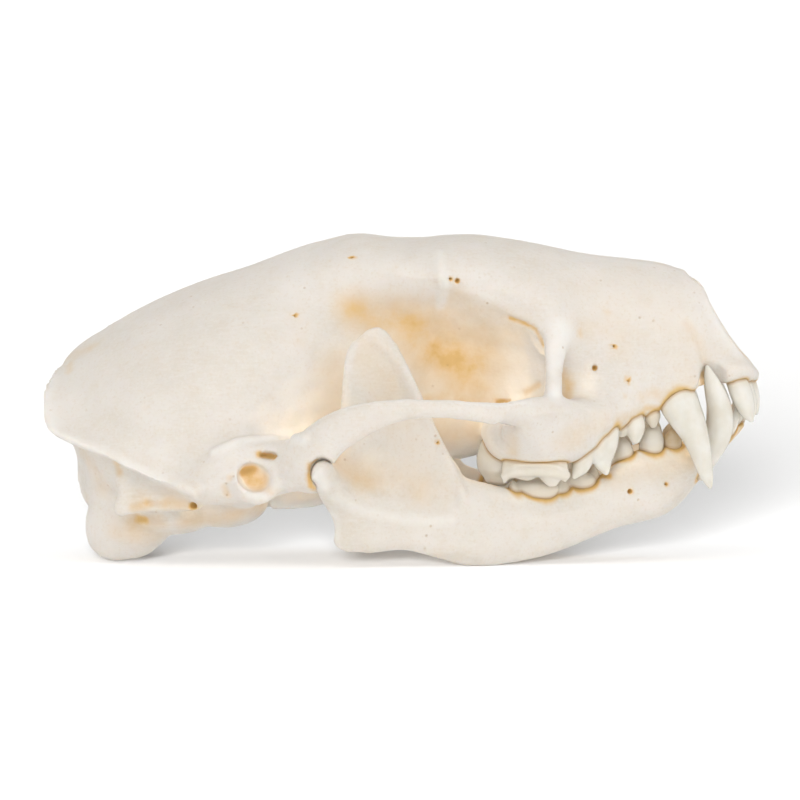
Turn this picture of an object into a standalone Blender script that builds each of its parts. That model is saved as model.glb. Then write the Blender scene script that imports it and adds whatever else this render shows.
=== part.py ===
"""A skunk skull with its lower jaw closed, standing as it rests on a table.

The snout points along +X, the skull's left side is +Y and +Z is up. The origin is
on the table, under the middle of the skull's box. Sizes below are in millimetres,
and the finished pieces are scaled to metres at the end.

The bones are built like clay. Each swelling, arch, process and plate is a simple
closed form, the forms of one bone are fused into one skin, hollows are cut away,
and each tooth stands in a socket of its own.
"""

import bmesh
import bpy
import numpy as np
from mathutils import Matrix, Vector

# Driving sizes, in millimetres.
SKULL_LENGTH = 71.6
SOCKET_GAP = 0.1
JAW_GAP = 0.3

# How finely the clay is skinned, and how many triangles each kind of piece keeps.
BONE_VOXEL = 0.42
TOOTH_VOXEL = 0.14
CRANIUM_TRIANGLES = 2900
MANDIBLE_TRIANGLES = 580
TRIANGLES = {
    "incisor_1": 44,
    "incisor_2": 44,
    "incisor_3": 48,
    "canine": 76,
    "premolar_2": 44,
    "premolar_3": 64,
    "premolar_4": 96,
    "molar_1": 116,
    "molar_2": 48,
}

# The tables were laid out on a skull of this length, so this factor resizes them.
TABLE_LENGTH = 71.6
SCALE_TO_METRES = 0.001 * SKULL_LENGTH / TABLE_LENGTH

# Lofts along the skull. Each row is x, top, bottom, half width, height of the
# widest point, and how square the section is above and below it (2 is an ellipse).
BRAINCASE = (
    (-33.7, 17.4, 12.8, 3.0, 15.2, 2.0, 2.0),
    (-33.2, 19.0, 10.6, 6.4, 14.4, 2.0, 2.2),
    (-31.6, 20.9, 7.8, 9.8, 13.4, 2.0, 2.4),
    (-29.0, 22.5, 5.8, 12.3, 12.8, 2.0, 2.6),
    (-25.0, 24.9, 5.0, 14.2, 13.0, 2.0, 2.8),
    (-20.0, 27.3, 5.0, 15.0, 13.6, 2.0, 2.8),
    (-15.0, 29.2, 5.6, 14.4, 14.6, 2.0, 2.6),
    (-10.0, 31.2, 7.0, 12.6, 16.4, 2.0, 2.4),
    (-6.0, 32.4, 9.0, 10.4, 19.0, 2.0, 2.2),
    (-2.0, 32.3, 12.0, 9.2, 22.5, 2.1, 2.0),
    (2.0, 31.6, 16.0, 8.0, 24.5, 2.2, 2.0),
    (5.0, 30.0, 20.0, 5.0, 25.0, 2.2, 2.0),
)
FOREHEAD = (
    (-17.0, 27.6, 22.0, 5.0, 25.0, 2.2, 2.0),
    (-12.0, 30.0, 23.5, 6.4, 26.4, 2.2, 2.0),
    (-8.0, 31.6, 24.2, 7.6, 27.5, 2.2, 1.9),
    (-4.0, 32.7, 24.0, 8.5, 28.2, 2.2, 1.8),
    (0.0, 32.3, 23.6, 9.2, 28.7, 2.3, 1.6),
    (2.5, 32.3, 23.4, 9.9, 29.0, 2.4, 1.5),
    (4.3, 32.5, 23.2, 10.5, 29.0, 2.4, 1.5),
    (7.0, 32.6, 22.4, 10.0, 28.0, 2.3, 1.5),
    (10.0, 32.3, 21.4, 9.7, 26.6, 2.2, 1.5),
    (12.5, 31.9, 19.6, 9.7, 25.3, 2.2, 1.6),
    (14.6, 31.5, 17.6, 10.2, 23.4, 2.2, 1.8),
    (16.4, 31.1, 17.0, 9.9, 22.0, 2.2, 2.0),
    (18.6, 30.6, 17.0, 8.4, 22.0, 2.2, 2.0),
)
ORBIT_KEEL = (
    (-12.0, 18.0, 7.4, 5.4, 13.0, 2.0, 2.4),
    (-8.0, 22.0, 7.4, 5.8, 14.5, 2.0, 2.6),
    (-3.0, 26.0, 8.8, 5.4, 17.0, 2.0, 2.6),
    (2.0, 28.0, 10.6, 5.0, 19.0, 2.0, 2.8),
    (7.0, 28.0, 12.0, 5.4, 20.0, 2.0, 3.0),
    (11.0, 28.0, 12.6, 7.0, 20.0, 2.0, 3.0),
    (15.0, 28.0, 13.2, 8.6, 20.0, 2.0, 3.0),
)
SNOUT = (
    (11.5, 29.0, 13.4, 7.4, 20.5, 2.2, 2.8),
    (14.0, 31.0, 13.2, 8.8, 20.0, 2.2, 3.0),
    (17.0, 30.9, 13.6, 9.0, 19.6, 2.2, 3.0),
    (20.0, 30.5, 14.8, 8.4, 19.6, 2.2, 3.0),
    (23.0, 30.2, 16.0, 7.6, 19.8, 2.2, 3.0),
    (26.0, 29.8, 17.0, 7.3, 20.4, 2.2, 3.0),
    (28.4, 29.1, 17.6, 6.9, 20.8, 2.2, 3.0),
    (30.0, 29.0, 17.9, 6.3, 21.0, 2.3, 3.0),
    (31.0, 29.0, 18.0, 5.8, 21.4, 2.4, 3.0),
    (32.0, 28.6, 18.1, 5.4, 21.6, 2.4, 3.0),
    (33.0, 27.6, 18.2, 5.0, 21.4, 2.4, 3.0),
    (34.0, 26.0, 18.1, 4.5, 20.8, 2.4, 3.0),
    (35.0, 23.6, 17.9, 3.6, 20.0, 2.4, 2.6),
    (35.9, 20.6, 17.7, 2.4, 19.0, 2.2, 2.2),
)
SKULL_BASE = (
    (-26.6, 4.6, 2.7, 3.4, 3.6, 2.0, 2.4),
    (-25.0, 6.4, 2.8, 5.6, 4.2, 2.0, 2.6),
    (-22.0, 8.0, 3.6, 7.2, 5.2, 2.0, 2.8),
    (-17.0, 8.4, 4.7, 6.4, 6.2, 2.0, 2.8),
    (-12.0, 8.6, 5.6, 4.8, 6.8, 2.0, 2.8),
    (-7.0, 9.6, 6.8, 3.8, 7.8, 2.0, 2.4),
)
NASAL_CAVITY = (
    (17.0, 24.5, 20.8, 1.6, 22.5, 2.0, 2.0),
    (20.0, 26.2, 20.0, 3.0, 22.8, 2.0, 2.2),
    (24.0, 27.6, 19.8, 3.7, 23.2, 2.2, 2.4),
    (27.4, 28.2, 19.8, 4.2, 23.4, 2.4, 2.4),
    (30.0, 28.4, 19.8, 4.4, 22.4, 2.4, 2.4),
    (31.0, 28.4, 19.8, 4.3, 22.4, 2.4, 2.4),
    (32.0, 28.4, 19.7, 4.1, 22.2, 2.4, 2.4),
    (33.0, 28.2, 19.7, 3.8, 22.0, 2.4, 2.4),
    (34.0, 28.0, 19.6, 3.2, 21.6, 2.4, 2.4),
    (35.0, 27.0, 19.5, 2.4, 21.0, 2.4, 2.2),
    (37.0, 26.0, 19.6, 1.0, 21.0, 2.4, 2.0),
)
# The rim of the nose seen from the side: everything in front and above is cut off.
NOSE_RIM = (
    (28.2, 34.0), (28.35, 30.2), (28.5, 29.0), (28.9, 28.35), (29.6, 28.0), (30.3, 27.3),
    (30.7, 26.5), (31.1, 25.5), (32.0, 23.9), (33.0, 22.3), (34.0, 21.0), (35.0, 19.9),
    (35.6, 19.1), (36.6, 18.7), (40.0, 18.7), (40.0, 34.0),
)
CHOANA = (
    (-9.0, 8.6, 5.0, 2.2, 7.0, 2.0, 2.0),
    (-4.0, 11.4, 6.0, 2.7, 8.0, 2.2, 2.2),
    (1.0, 13.0, 7.6, 2.8, 10.2, 2.2, 2.2),
    (5.0, 14.0, 9.6, 2.8, 11.8, 2.2, 2.2),
    (8.0, 15.4, 12.6, 2.7, 14.0, 2.2, 2.2),
    (12.0, 16.6, 13.8, 2.4, 15.2, 2.0, 2.0),
    (16.0, 17.6, 15.4, 1.6, 16.5, 2.0, 2.0),
)

# Limbs: each row is x, y, z, half thickness across and half height. They are given
# for the left side, and the right side is the same with y turned round.
TOOTH_ROW_BONE = (
    (9.0, 8.8, 13.6, 1.0, 1.2),
    (10.6, 10.0, 13.2, 2.4, 2.6),
    (13.5, 10.4, 13.4, 3.1, 3.2),
    (16.5, 10.0, 13.6, 2.7, 3.4),
    (19.0, 9.0, 15.0, 2.1, 2.9),
    (21.5, 8.1, 16.5, 1.8, 2.4),
    (24.5, 7.2, 17.4, 1.6, 2.1),
    (28.0, 6.5, 18.6, 1.9, 2.0),
    (30.6, 4.9, 19.2, 1.1, 1.5),
    (33.0, 4.0, 19.2, 1.2, 1.1),
    (34.6, 2.6, 19.0, 1.1, 1.0),
    (35.1, 0.6, 18.9, 0.8, 1.0),
)
PALATE = (
    (7.6, 13.8, 12.4, 5.5, 13.1, 3.0, 3.0),
    (9.5, 14.6, 12.3, 8.0, 13.4, 3.0, 3.0),
    (14.0, 16.0, 13.0, 9.0, 14.4, 3.0, 3.0),
    (20.0, 18.0, 15.0, 8.0, 16.4, 3.0, 3.0),
    (27.0, 20.0, 17.4, 6.4, 18.6, 3.0, 3.0),
    (33.0, 20.0, 18.2, 4.6, 19.0, 3.0, 3.0),
)
CHEEK_ARCH = (
    (-13.0, 14.0, 10.6, 1.8, 2.4),
    (-10.8, 16.8, 10.5, 1.7, 2.8),
    (-8.8, 18.8, 11.6, 1.6, 2.6),
    (-7.0, 20.1, 13.4, 1.2, 2.2),
    (-4.6, 21.0, 14.8, 0.95, 1.9),
    (-2.0, 21.2, 15.7, 0.85, 1.45),
    (1.0, 21.0, 16.2, 0.8, 1.1),
    (4.0, 20.4, 16.2, 0.8, 1.0),
    (7.0, 19.2, 15.9, 0.85, 1.05),
    (10.0, 17.5, 15.5, 0.95, 1.25),
    (12.0, 16.0, 15.3, 1.1, 1.7),
    (14.0, 14.1, 15.0, 1.5, 2.2),
    (16.0, 12.2, 14.6, 1.8, 2.2),
    (18.0, 10.6, 14.4, 1.6, 2.2),
)
ORBIT_BAR = (
    (15.0, 12.4, 15.4, 1.0, 1.4),
    (15.3, 12.3, 17.2, 0.75, 0.95),
    (15.35, 11.8, 19.2, 0.7, 0.85),
    (15.2, 11.0, 21.2, 0.8, 0.95),
    (14.7, 9.8, 23.2, 1.1, 1.2),
)
EAR_SHELF = (
    (-20.5, 13.8, 8.6, 1.8, 2.0),
    (-18.4, 14.8, 9.0, 2.0, 2.8),
    (-16.5, 15.1, 9.6, 2.1, 3.2),
    (-13.5, 15.2, 10.0, 2.0, 3.0),
    (-10.5, 16.4, 10.4, 1.8, 2.6),
)
GLENOID_BLOCK = (
    (-8.6, 10.8, 9.6, 2.0, 2.4),
    (-8.9, 14.0, 9.8, 2.0, 2.4),
    (-9.0, 17.0, 9.8, 1.9, 2.2),
    (-8.9, 19.4, 9.9, 1.5, 2.0),
)
EAR_TUBE = (
    (-16.4, 9.0, 7.2, 2.2, 2.0),
    (-15.6, 12.5, 8.0, 2.3, 2.2),
    (-14.6, 16.4, 8.9, 2.2, 2.2),
)
PAROCCIPITAL = (
    (-30.0, 10.4, 11.5, 1.3, 1.3),
    (-28.9, 11.6, 9.0, 1.2, 1.2),
    (-28.1, 12.2, 6.8, 0.9, 0.9),
    (-27.9, 12.4, 5.9, 0.55, 0.55),
)
PAROCCIPITAL_RIDGE = (
    (-28.0, 12.2, 6.4, 0.8, 0.7),
    (-25.4, 13.4, 7.0, 0.9, 0.8),
    (-22.6, 14.6, 6.9, 1.0, 0.8),
    (-20.4, 15.2, 6.6, 1.0, 0.8),
)
CONDYLE = (
    (-28.9, 7.2, 6.4, 1.8, 1.6),
    (-29.3, 6.6, 4.2, 2.2, 2.0),
    (-28.3, 5.4, 2.7, 2.6, 2.7),
    (-26.0, 4.2, 3.4, 1.9, 1.9),
)

# Blades are thin plates. Each row is a point on the free edge, a point inside the
# bone, and the plate's thickness between the two.
NUCHAL_CREST = (
    ((-34.4, 0.0, 20.4), (-28.0, 0.0, 18.6), 2.2),
    ((-35.3, 2.4, 19.7), (-28.0, 1.6, 17.6), 2.2),
    ((-35.7, 4.8, 18.6), (-28.0, 3.2, 16.2), 2.2),
    ((-35.9, 7.2, 17.0), (-28.0, 5.0, 14.8), 2.2),
    ((-35.9, 9.0, 15.3), (-27.6, 6.8, 13.6), 2.2),
    ((-35.3, 10.4, 13.8), (-26.8, 8.0, 12.6), 2.2),
    ((-33.3, 12.3, 12.8), (-25.4, 8.8, 11.6), 2.2),
    ((-30.3, 14.0, 11.9), (-23.4, 9.8, 10.8), 2.2),
    ((-26.9, 15.4, 10.2), (-21.6, 10.7, 9.4), 2.2),
    ((-23.5, 16.6, 8.8), (-19.8, 11.2, 8.4), 2.4),
    ((-20.2, 17.3, 7.5), (-17.5, 12.0, 8.0), 2.4),
)
SAGITTAL_CREST = (
    ((-35.2, 0.0, 19.8), (-30.0, 0.0, 17.0), 1.6),
    ((-33.0, 0.0, 21.5), (-29.0, 0.0, 18.5), 1.6),
    ((-30.0, 0.0, 23.1), (-28.0, 0.0, 20.0), 1.6),
    ((-25.0, 0.0, 25.9), (-24.0, 0.0, 22.0), 1.6),
    ((-20.0, 0.0, 28.0), (-20.0, 0.0, 24.0), 1.6),
    ((-14.0, 0.0, 29.9), (-14.0, 0.0, 26.0), 1.8),
    ((-9.0, 0.0, 31.8), (-9.0, 0.0, 28.0), 2.0),
    ((-5.0, 0.0, 32.8), (-5.0, 0.0, 29.0), 2.2),
)
PTERYGOID_PLATE = (
    ((9.0, 3.9, 12.0), (9.0, 3.9, 15.0), 1.2),
    ((6.0, 3.7, 10.4), (6.0, 3.7, 14.5), 1.2),
    ((2.0, 3.7, 8.8), (2.0, 3.7, 14.0), 1.1),
    ((-3.0, 3.9, 6.9), (-3.0, 3.9, 12.5), 1.1),
    ((-7.0, 4.3, 5.7), (-7.5, 4.2, 10.5), 1.1),
    ((-10.2, 4.8, 5.2), (-10.6, 4.5, 8.5), 1.1),
    ((-13.0, 5.4, 5.2), (-13.0, 5.0, 8.0), 1.2),
)

# Lone swellings: x, y, z and the three half sizes.
EAR_BULLA = ((-17.0, 8.4, 6.6), (4.6, 3.8, 2.9))
EXOCCIPITAL = ((-26.2, 7.4, 5.2), (3.0, 3.4, 2.6))
BROW_POINT = ((4.3, 9.9, 29.0), (1.6, 1.0, 0.7))
BASIN = ((-23.0, 8.4, 6.0), (4.6, 4.4, 2.4))

# Hollows that are cut from the cranium: limbs of x, y, z, half across, half height.
FORAMEN_MAGNUM = (
    (-36.0, 0.0, 2.8, 4.1, 3.4),
    (-31.0, 0.0, 3.6, 4.1, 3.1),
    (-28.0, 0.0, 5.0, 4.0, 2.7),
    (-25.0, 0.0, 6.6, 3.6, 2.5),
    (-21.5, 0.0, 8.2, 2.8, 2.2),
)
CHEEK_CANAL = (
    (10.0, 9.6, 18.6, 1.4, 1.7),
    (13.5, 10.1, 18.4, 1.2, 1.6),
    (16.4, 10.9, 18.4, 1.2, 1.6),
    (18.4, 11.9, 18.4, 1.5, 1.7),
)
EAR_HOLE = (
    (-15.6, 12.6, 9.4, 1.2, 1.2),
    (-14.9, 15.5, 9.0, 1.55, 1.5),
    (-14.5, 19.0, 8.9, 1.75, 1.65),
)
EAR_SLIT = (
    (-14.4, 13.4, 11.2, 0.7, 0.45),
    (-13.4, 16.0, 11.3, 1.0, 0.5),
    (-12.9, 19.0, 11.2, 1.2, 0.55),
)
JAW_SOCKET = (
    (-7.45, 10.4, 9.6, 1.95, 2.05),
    (-7.45, 23.0, 9.6, 1.95, 2.05),
)
LOWER_CANINE_NOTCH = ((31.3, 6.7, 17.6), (1.9, 2.0, 4.2))


# The lower jaw's left half: x, top, bottom, half thickness, widest height, squareness.
RAMUS = (
    (-6.9, 9.4, 5.2, 0.75, 7.0, 2.4, 2.4),
    (-6.6, 12.0, 2.9, 0.8, 7.0, 3.0, 3.0),
    (-6.1, 14.8, 2.0, 0.85, 7.0, 3.0, 3.0),
    (-5.6, 20.0, 1.8, 0.9, 7.0, 3.0, 3.0),
    (-4.9, 22.3, 1.6, 0.95, 7.0, 3.0, 3.0),
    (-4.0, 23.1, 1.6, 1.0, 7.0, 3.0, 3.0),
    (-2.8, 23.7, 1.5, 1.0, 7.0, 3.0, 3.0),
    (-1.4, 23.3, 1.7, 1.0, 7.0, 3.0, 3.0),
    (-0.6, 22.2, 1.8, 1.05, 7.0, 3.0, 3.0),
    (1.0, 19.0, 1.7, 1.1, 6.5, 3.0, 3.0),
    (2.1, 16.8, 1.4, 1.1, 6.0, 3.0, 3.0),
    (3.1, 14.6, 1.1, 1.15, 6.0, 3.0, 3.0),
    (4.2, 12.4, 0.8, 1.2, 5.5, 3.0, 3.0),
    (5.4, 10.2, 0.4, 1.25, 5.0, 3.0, 3.0),
    (7.0, 8.6, 0.1, 1.3, 5.0, 3.0, 3.0),
    (9.0, 8.0, 0.1, 1.3, 4.6, 3.0, 3.0),
)
JAW_BODY = (
    (2.6, 8.8, 3.4, 1.0, 6.0, 2.2, 2.2),
    (5.0, 9.0, 1.2, 1.5, 5.6, 2.4, 2.2),
    (8.0, 8.0, 0.0, 1.75, 5.0, 2.6, 2.2),
    (11.0, 7.7, 0.3, 1.85, 4.8, 2.6, 2.2),
    (14.0, 7.4, 0.85, 1.9, 4.8, 2.6, 2.2),
    (17.0, 7.9, 1.8, 1.9, 5.4, 2.6, 2.2),
    (20.0, 8.6, 3.0, 1.95, 6.0, 2.6, 2.2),
    (22.0, 10.0, 3.7, 2.0, 7.2, 2.6, 2.2),
    (24.0, 11.0, 4.1, 2.1, 7.8, 2.6, 2.2),
    (26.0, 11.3, 4.6, 2.4, 8.4, 2.4, 2.2),
    (28.0, 11.7, 5.9, 2.6, 9.2, 2.4, 2.2),
    (30.0, 12.2, 8.3, 2.55, 10.6, 2.4, 2.2),
    (32.0, 12.8, 10.7, 2.4, 12.0, 2.2, 2.2),
    (33.6, 13.8, 12.5, 1.7, 13.2, 2.0, 2.0),
    (34.5, 14.0, 13.5, 0.8, 13.8, 2.0, 2.0),
)
JAW_MIDLINE = (
    (-9.0, 15.6), (-6.0, 15.2), (-2.0, 14.2), (2.0, 13.1), (6.0, 12.0), (10.0, 10.6),
    (14.0, 9.2), (18.0, 7.9), (22.0, 6.4), (25.0, 5.0), (28.0, 3.5), (30.0, 2.7),
    (32.0, 2.1), (34.0, 1.4), (36.0, 0.8),
)
JAW_CONDYLE = (
    (-7.75, 12.6, 9.5, 0.95, 1.1),
    (-7.75, 14.2, 9.6, 1.15, 1.4),
    (-7.75, 16.2, 9.6, 1.2, 1.45),
    (-7.7, 18.2, 9.6, 1.1, 1.35),
    (-7.6, 19.3, 9.6, 0.85, 1.0),
)
JAW_NECK = (
    (-7.4, 15.8, 9.2, 1.4, 1.2),
    (-5.4, 15.1, 8.2, 1.0, 2.2),
    (-2.6, 14.4, 7.4, 0.8, 2.6),
)
CORONOID_EDGE = (
    (-2.4, 14.5, 22.6, 0.7, 0.7),
    (-0.8, 14.1, 21.2, 0.85, 0.8),
    (0.8, 13.8, 18.2, 0.95, 0.8),
    (2.2, 13.3, 15.2, 1.05, 0.8),
    (3.6, 12.9, 12.0, 1.1, 0.8),
    (5.2, 12.3, 9.2, 1.2, 1.0),
)
JAW_ANGLE = (
    (-5.9, 15.3, 3.0, 0.95, 1.0),
    (-3.0, 14.7, 2.6, 1.15, 1.0),
    (0.0, 13.9, 2.8, 1.25, 1.0),
    (4.0, 12.7, 2.4, 1.5, 1.4),
    (8.0, 11.4, 2.0, 1.6, 1.8),
)
FRONT_BOX = ((20.0, -2.0), (20.0, 22.0), (40.0, 22.0), (40.0, -2.0))

# Teeth of the left side. Each tooth is a set of cusps and roots, and each of those is
# a limb with rows of x, y, z, half size across the jaw and half size along it.
UPPER_TEETH = {
    "incisor_1": (
        ((34.5, 1.0, 18.9, 0.4, 0.5), (35.0, 1.0, 18.2, 0.75, 0.6), (35.4, 1.0, 16.6, 0.8, 0.55),
         (35.6, 1.0, 15.2, 0.72, 0.32), (35.6, 1.0, 14.8, 0.6, 0.18)),
    ),
    "incisor_2": (
        ((33.9, 2.7, 18.9, 0.4, 0.5), (34.4, 2.75, 18.2, 0.75, 0.7), (34.9, 2.8, 16.6, 0.8, 0.65),
         (35.2, 2.8, 15.1, 0.7, 0.4), (35.2, 2.8, 14.7, 0.55, 0.2)),
    ),
    "incisor_3": (
        ((32.6, 4.0, 19.8, 0.6, 0.8), (33.5, 4.3, 18.3, 0.85, 1.05), (34.0, 4.5, 16.9, 0.9, 1.2),
         (34.55, 4.5, 15.4, 0.75, 0.9), (34.9, 4.4, 14.3, 0.35, 0.35)),
    ),
    "canine": (
        ((26.4, 6.0, 20.0, 0.9, 1.2), (27.3, 6.7, 17.4, 1.3, 1.9), (28.1, 7.1, 15.5, 1.4, 2.0),
         (28.7, 7.3, 14.3, 1.25, 1.75), (29.3, 7.5, 13.2, 1.1, 1.4), (29.8, 7.6, 12.0, 0.95, 1.1),
         (30.2, 7.75, 10.6, 0.8, 0.9), (30.55, 7.85, 9.2, 0.62, 0.68),
         (30.85, 7.9, 8.1, 0.35, 0.38), (30.95, 7.9, 7.75, 0.15, 0.15)),
    ),
    "premolar_2": (
        ((24.5, 6.9, 16.8, 0.45, 0.45), (24.8, 6.95, 15.6, 0.6, 0.65), (25.0, 7.0, 14.9, 0.6, 0.65),
         (25.1, 7.0, 14.15, 0.3, 0.3)),
    ),
    "premolar_3": (
        ((22.9, 7.3, 17.6, 0.6, 0.9), (22.9, 7.5, 15.4, 0.8, 1.2), (23.1, 7.7, 13.9, 0.75, 0.95),
         (23.4, 7.8, 12.3, 0.22, 0.25)),
        ((22.2, 7.5, 15.6, 0.6, 0.6), (22.0, 7.7, 14.0, 0.6, 0.55), (21.9, 7.7, 13.0, 0.3, 0.3)),
    ),
    "premolar_4": (
        ((20.7, 8.3, 16.0, 0.9, 0.9), (20.6, 8.7, 13.2, 1.1, 1.1), (20.6, 9.1, 11.2, 1.0, 1.1),
         (20.65, 9.3, 9.3, 0.25, 0.3)),
        ((18.2, 9.6, 13.6, 0.9, 1.4), (18.0, 10.0, 11.2, 0.9, 1.5), (17.7, 10.3, 9.8, 0.65, 1.1),
         (17.4, 10.4, 8.9, 0.25, 0.5)),
        ((19.6, 9.2, 14.0, 0.9, 1.4), (19.4, 9.6, 11.8, 0.9, 1.6), (19.2, 9.9, 10.2, 0.5, 1.3)),
        ((20.4, 7.2, 15.4, 0.8, 0.8), (20.4, 7.2, 13.0, 1.0, 1.0), (20.4, 7.2, 12.0, 0.5, 0.6)),
    ),
    "molar_1": (
        ((13.3, 10.8, 12.6, 1.0, 1.8), (13.3, 11.2, 10.6, 1.3, 2.9), (13.4, 11.6, 9.6, 0.9, 3.0),
         (13.5, 11.7, 9.1, 0.5, 2.6)),
        ((15.2, 11.0, 11.6, 1.0, 1.1), (15.3, 11.5, 9.6, 0.75, 1.0), (15.4, 11.7, 8.4, 0.25, 0.35)),
        ((11.6, 11.4, 11.6, 1.0, 1.1), (11.6, 11.7, 9.6, 0.75, 1.0), (11.6, 11.8, 8.5, 0.25, 0.35)),
        ((11.4, 8.6, 13.2, 1.4, 1.8), (11.0, 8.5, 11.4, 2.0, 2.9), (10.9, 8.4, 10.4, 1.9, 3.0),
         (10.9, 8.4, 9.9, 1.2, 2.4)),
    ),
}
LOWER_TEETH = {
    "incisor_1": (
        ((32.9, 0.75, 12.6, 0.4, 0.5), (33.9, 0.75, 13.8, 0.5, 0.5), (34.3, 0.75, 15.0, 0.5, 0.4),
         (34.3, 0.75, 15.9, 0.4, 0.2)),
    ),
    "incisor_2": (
        ((32.6, 2.0, 12.4, 0.4, 0.5), (33.5, 2.05, 13.8, 0.5, 0.5), (33.9, 2.1, 15.0, 0.5, 0.45),
         (33.9, 2.1, 15.9, 0.4, 0.22)),
    ),
    "incisor_3": (
        ((32.4, 3.2, 12.2, 0.4, 0.5), (33.2, 3.3, 13.6, 0.5, 0.5), (33.5, 3.35, 14.8, 0.5, 0.45),
         (33.5, 3.35, 15.6, 0.35, 0.22)),
    ),
    "canine": (
        ((29.6, 4.0, 8.8, 0.7, 1.0), (31.1, 4.4, 11.2, 0.9, 1.3), (31.9, 4.8, 13.2, 1.0, 1.5),
         (32.0, 5.1, 15.2, 0.9, 1.35), (31.7, 5.4, 17.2, 0.65, 0.95), (31.05, 5.7, 19.0, 0.4, 0.5),
         (30.7, 5.8, 19.7, 0.15, 0.18)),
    ),
    "premolar_2": (
        ((27.2, 4.9, 9.6, 0.5, 0.6), (27.3, 5.0, 11.6, 0.65, 0.8), (27.4, 5.05, 12.6, 0.6, 0.8),
         (27.5, 5.1, 13.4, 0.25, 0.3)),
    ),
    "premolar_3": (
        ((24.9, 5.5, 9.4, 0.6, 0.9), (25.0, 5.6, 11.4, 0.8, 1.2), (25.1, 5.7, 12.6, 0.65, 0.9),
         (25.2, 5.75, 13.6, 0.25, 0.3)),
    ),
    "premolar_4": (
        ((22.3, 6.1, 7.8, 0.7, 1.0), (22.3, 6.2, 9.9, 0.85, 1.35), (22.3, 6.25, 11.2, 0.65, 0.9),
         (22.3, 6.3, 12.4, 0.22, 0.25)),
        ((21.3, 6.3, 8.4, 0.5, 0.5), (21.2, 6.4, 10.4, 0.55, 0.5), (21.2, 6.4, 11.0, 0.3, 0.3)),
    ),
    "molar_1": (
        ((18.0, 7.6, 5.8, 0.9, 1.4), (18.0, 7.8, 7.8, 1.3, 1.8), (17.6, 8.3, 8.8, 0.9, 1.2),
         (17.4, 8.6, 9.7, 0.35, 0.45)),
        ((19.2, 7.2, 6.6, 0.8, 0.8), (19.3, 7.4, 8.6, 0.8, 0.7), (19.3, 7.5, 9.7, 0.3, 0.35)),
        ((17.0, 7.0, 6.6, 0.8, 0.8), (16.9, 7.1, 8.4, 0.7, 0.7), (16.9, 7.1, 9.4, 0.3, 0.35)),
        ((13.2, 9.0, 5.4, 0.9, 1.9), (13.2, 9.0, 7.0, 1.5, 2.8), (13.2, 9.0, 7.7, 1.4, 2.8),
         (13.2, 9.0, 8.1, 0.9, 2.3)),
        ((15.6, 8.0, 5.8, 0.8, 1.4), (15.6, 8.2, 7.4, 1.3, 1.6), (15.6, 8.3, 8.1, 0.9, 1.3)),
    ),
    "molar_2": (
        ((9.0, 10.6, 6.4, 0.7, 0.8), (9.0, 10.6, 7.8, 1.0, 1.1), (9.0, 10.6, 8.5, 0.8, 0.9)),
    ),
}
TEETH = {
    "upper": {kind: (table, TRIANGLES[kind]) for kind, table in UPPER_TEETH.items()},
    "lower": {kind: (table, TRIANGLES[kind]) for kind, table in LOWER_TEETH.items()},
}


def curve_through(values, samples):
    """Rows read off a smooth curve through the given rows, evenly along its length."""
    rows = np.array(values, float)
    steps = np.linalg.norm(np.diff(rows[:, :3], axis=0), axis=1)
    at = np.concatenate([[0.0], np.cumsum(np.maximum(steps, 1e-6))])
    return fitted(at, rows, np.linspace(0.0, at[-1], samples))


def fitted(at, rows, wanted):
    """Monotone cubic interpolation: it never swings past the rows that it joins."""
    gap = np.diff(at)[:, None]
    slope = np.diff(rows, axis=0) / gap
    bend = np.zeros_like(rows)
    before, after = slope[:-1], slope[1:]
    w1 = 2 * gap[1:] + gap[:-1]
    w2 = gap[1:] + 2 * gap[:-1]
    agree = before * after > 0
    with np.errstate(divide="ignore", invalid="ignore"):
        mean = (w1 + w2) / (w1 / before + w2 / after)
    bend[1:-1] = np.where(agree, mean, 0.0)
    bend[0], bend[-1] = slope[0], slope[-1]
    k = np.clip(np.searchsorted(at, wanted) - 1, 0, len(at) - 2)
    t = ((wanted - at[k]) / (at[k + 1] - at[k]))[:, None]
    h = (at[k + 1] - at[k])[:, None]
    return (
        (2 * t**3 - 3 * t**2 + 1) * rows[k]
        + (t**3 - 2 * t**2 + t) * h * bend[k]
        + (-2 * t**3 + 3 * t**2) * rows[k + 1]
        + (t**3 - t**2) * h * bend[k + 1]
    )


def new_object(name, form):
    """Turns a finished bmesh into an object in the scene."""
    mesh = bpy.data.meshes.new(name)
    form.to_mesh(mesh)
    form.free()
    obj = bpy.data.objects.new(name, mesh)
    bpy.context.scene.collection.objects.link(obj)
    return obj


def skin_over(name, rings):
    """One closed form over rings of points, with its two ends filled."""
    form = bmesh.new()
    rows = [[form.verts.new(point) for point in ring] for ring in rings]
    for ring, beyond in zip(rows, rows[1:]):
        for corners in zip(ring, ring[1:] + ring[:1], beyond[1:] + beyond[:1], beyond):
            form.faces.new(corners)
    form.faces.new(rows[0])
    form.faces.new(rows[-1])
    bmesh.ops.recalc_face_normals(form, faces=form.faces)
    return new_object(name, form)


def power(value, exponent):
    return np.sign(value) * np.abs(value) ** exponent


def loft(name, table, samples=40, sides=40):
    """A form along X whose section changes from row to row of its table."""
    rows = np.array(table, float)
    rows = fitted(rows[:, 0], rows, np.linspace(rows[0, 0], rows[-1, 0], samples))
    angle = np.linspace(0.0, 2 * np.pi, sides, endpoint=False)
    rings = []
    for x, top, bottom, half, widest, above, below in rows:
        square = np.where(np.sin(angle) > 0, above, below)
        reach = np.where(np.sin(angle) > 0, top - widest, widest - bottom)
        y = half * power(np.cos(angle), 2 / square)
        z = widest + reach * power(np.sin(angle), 2 / square)
        rings.append(np.column_stack([np.full(sides, x), y, z]))
    return skin_over(name, np.array(rings))


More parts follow.
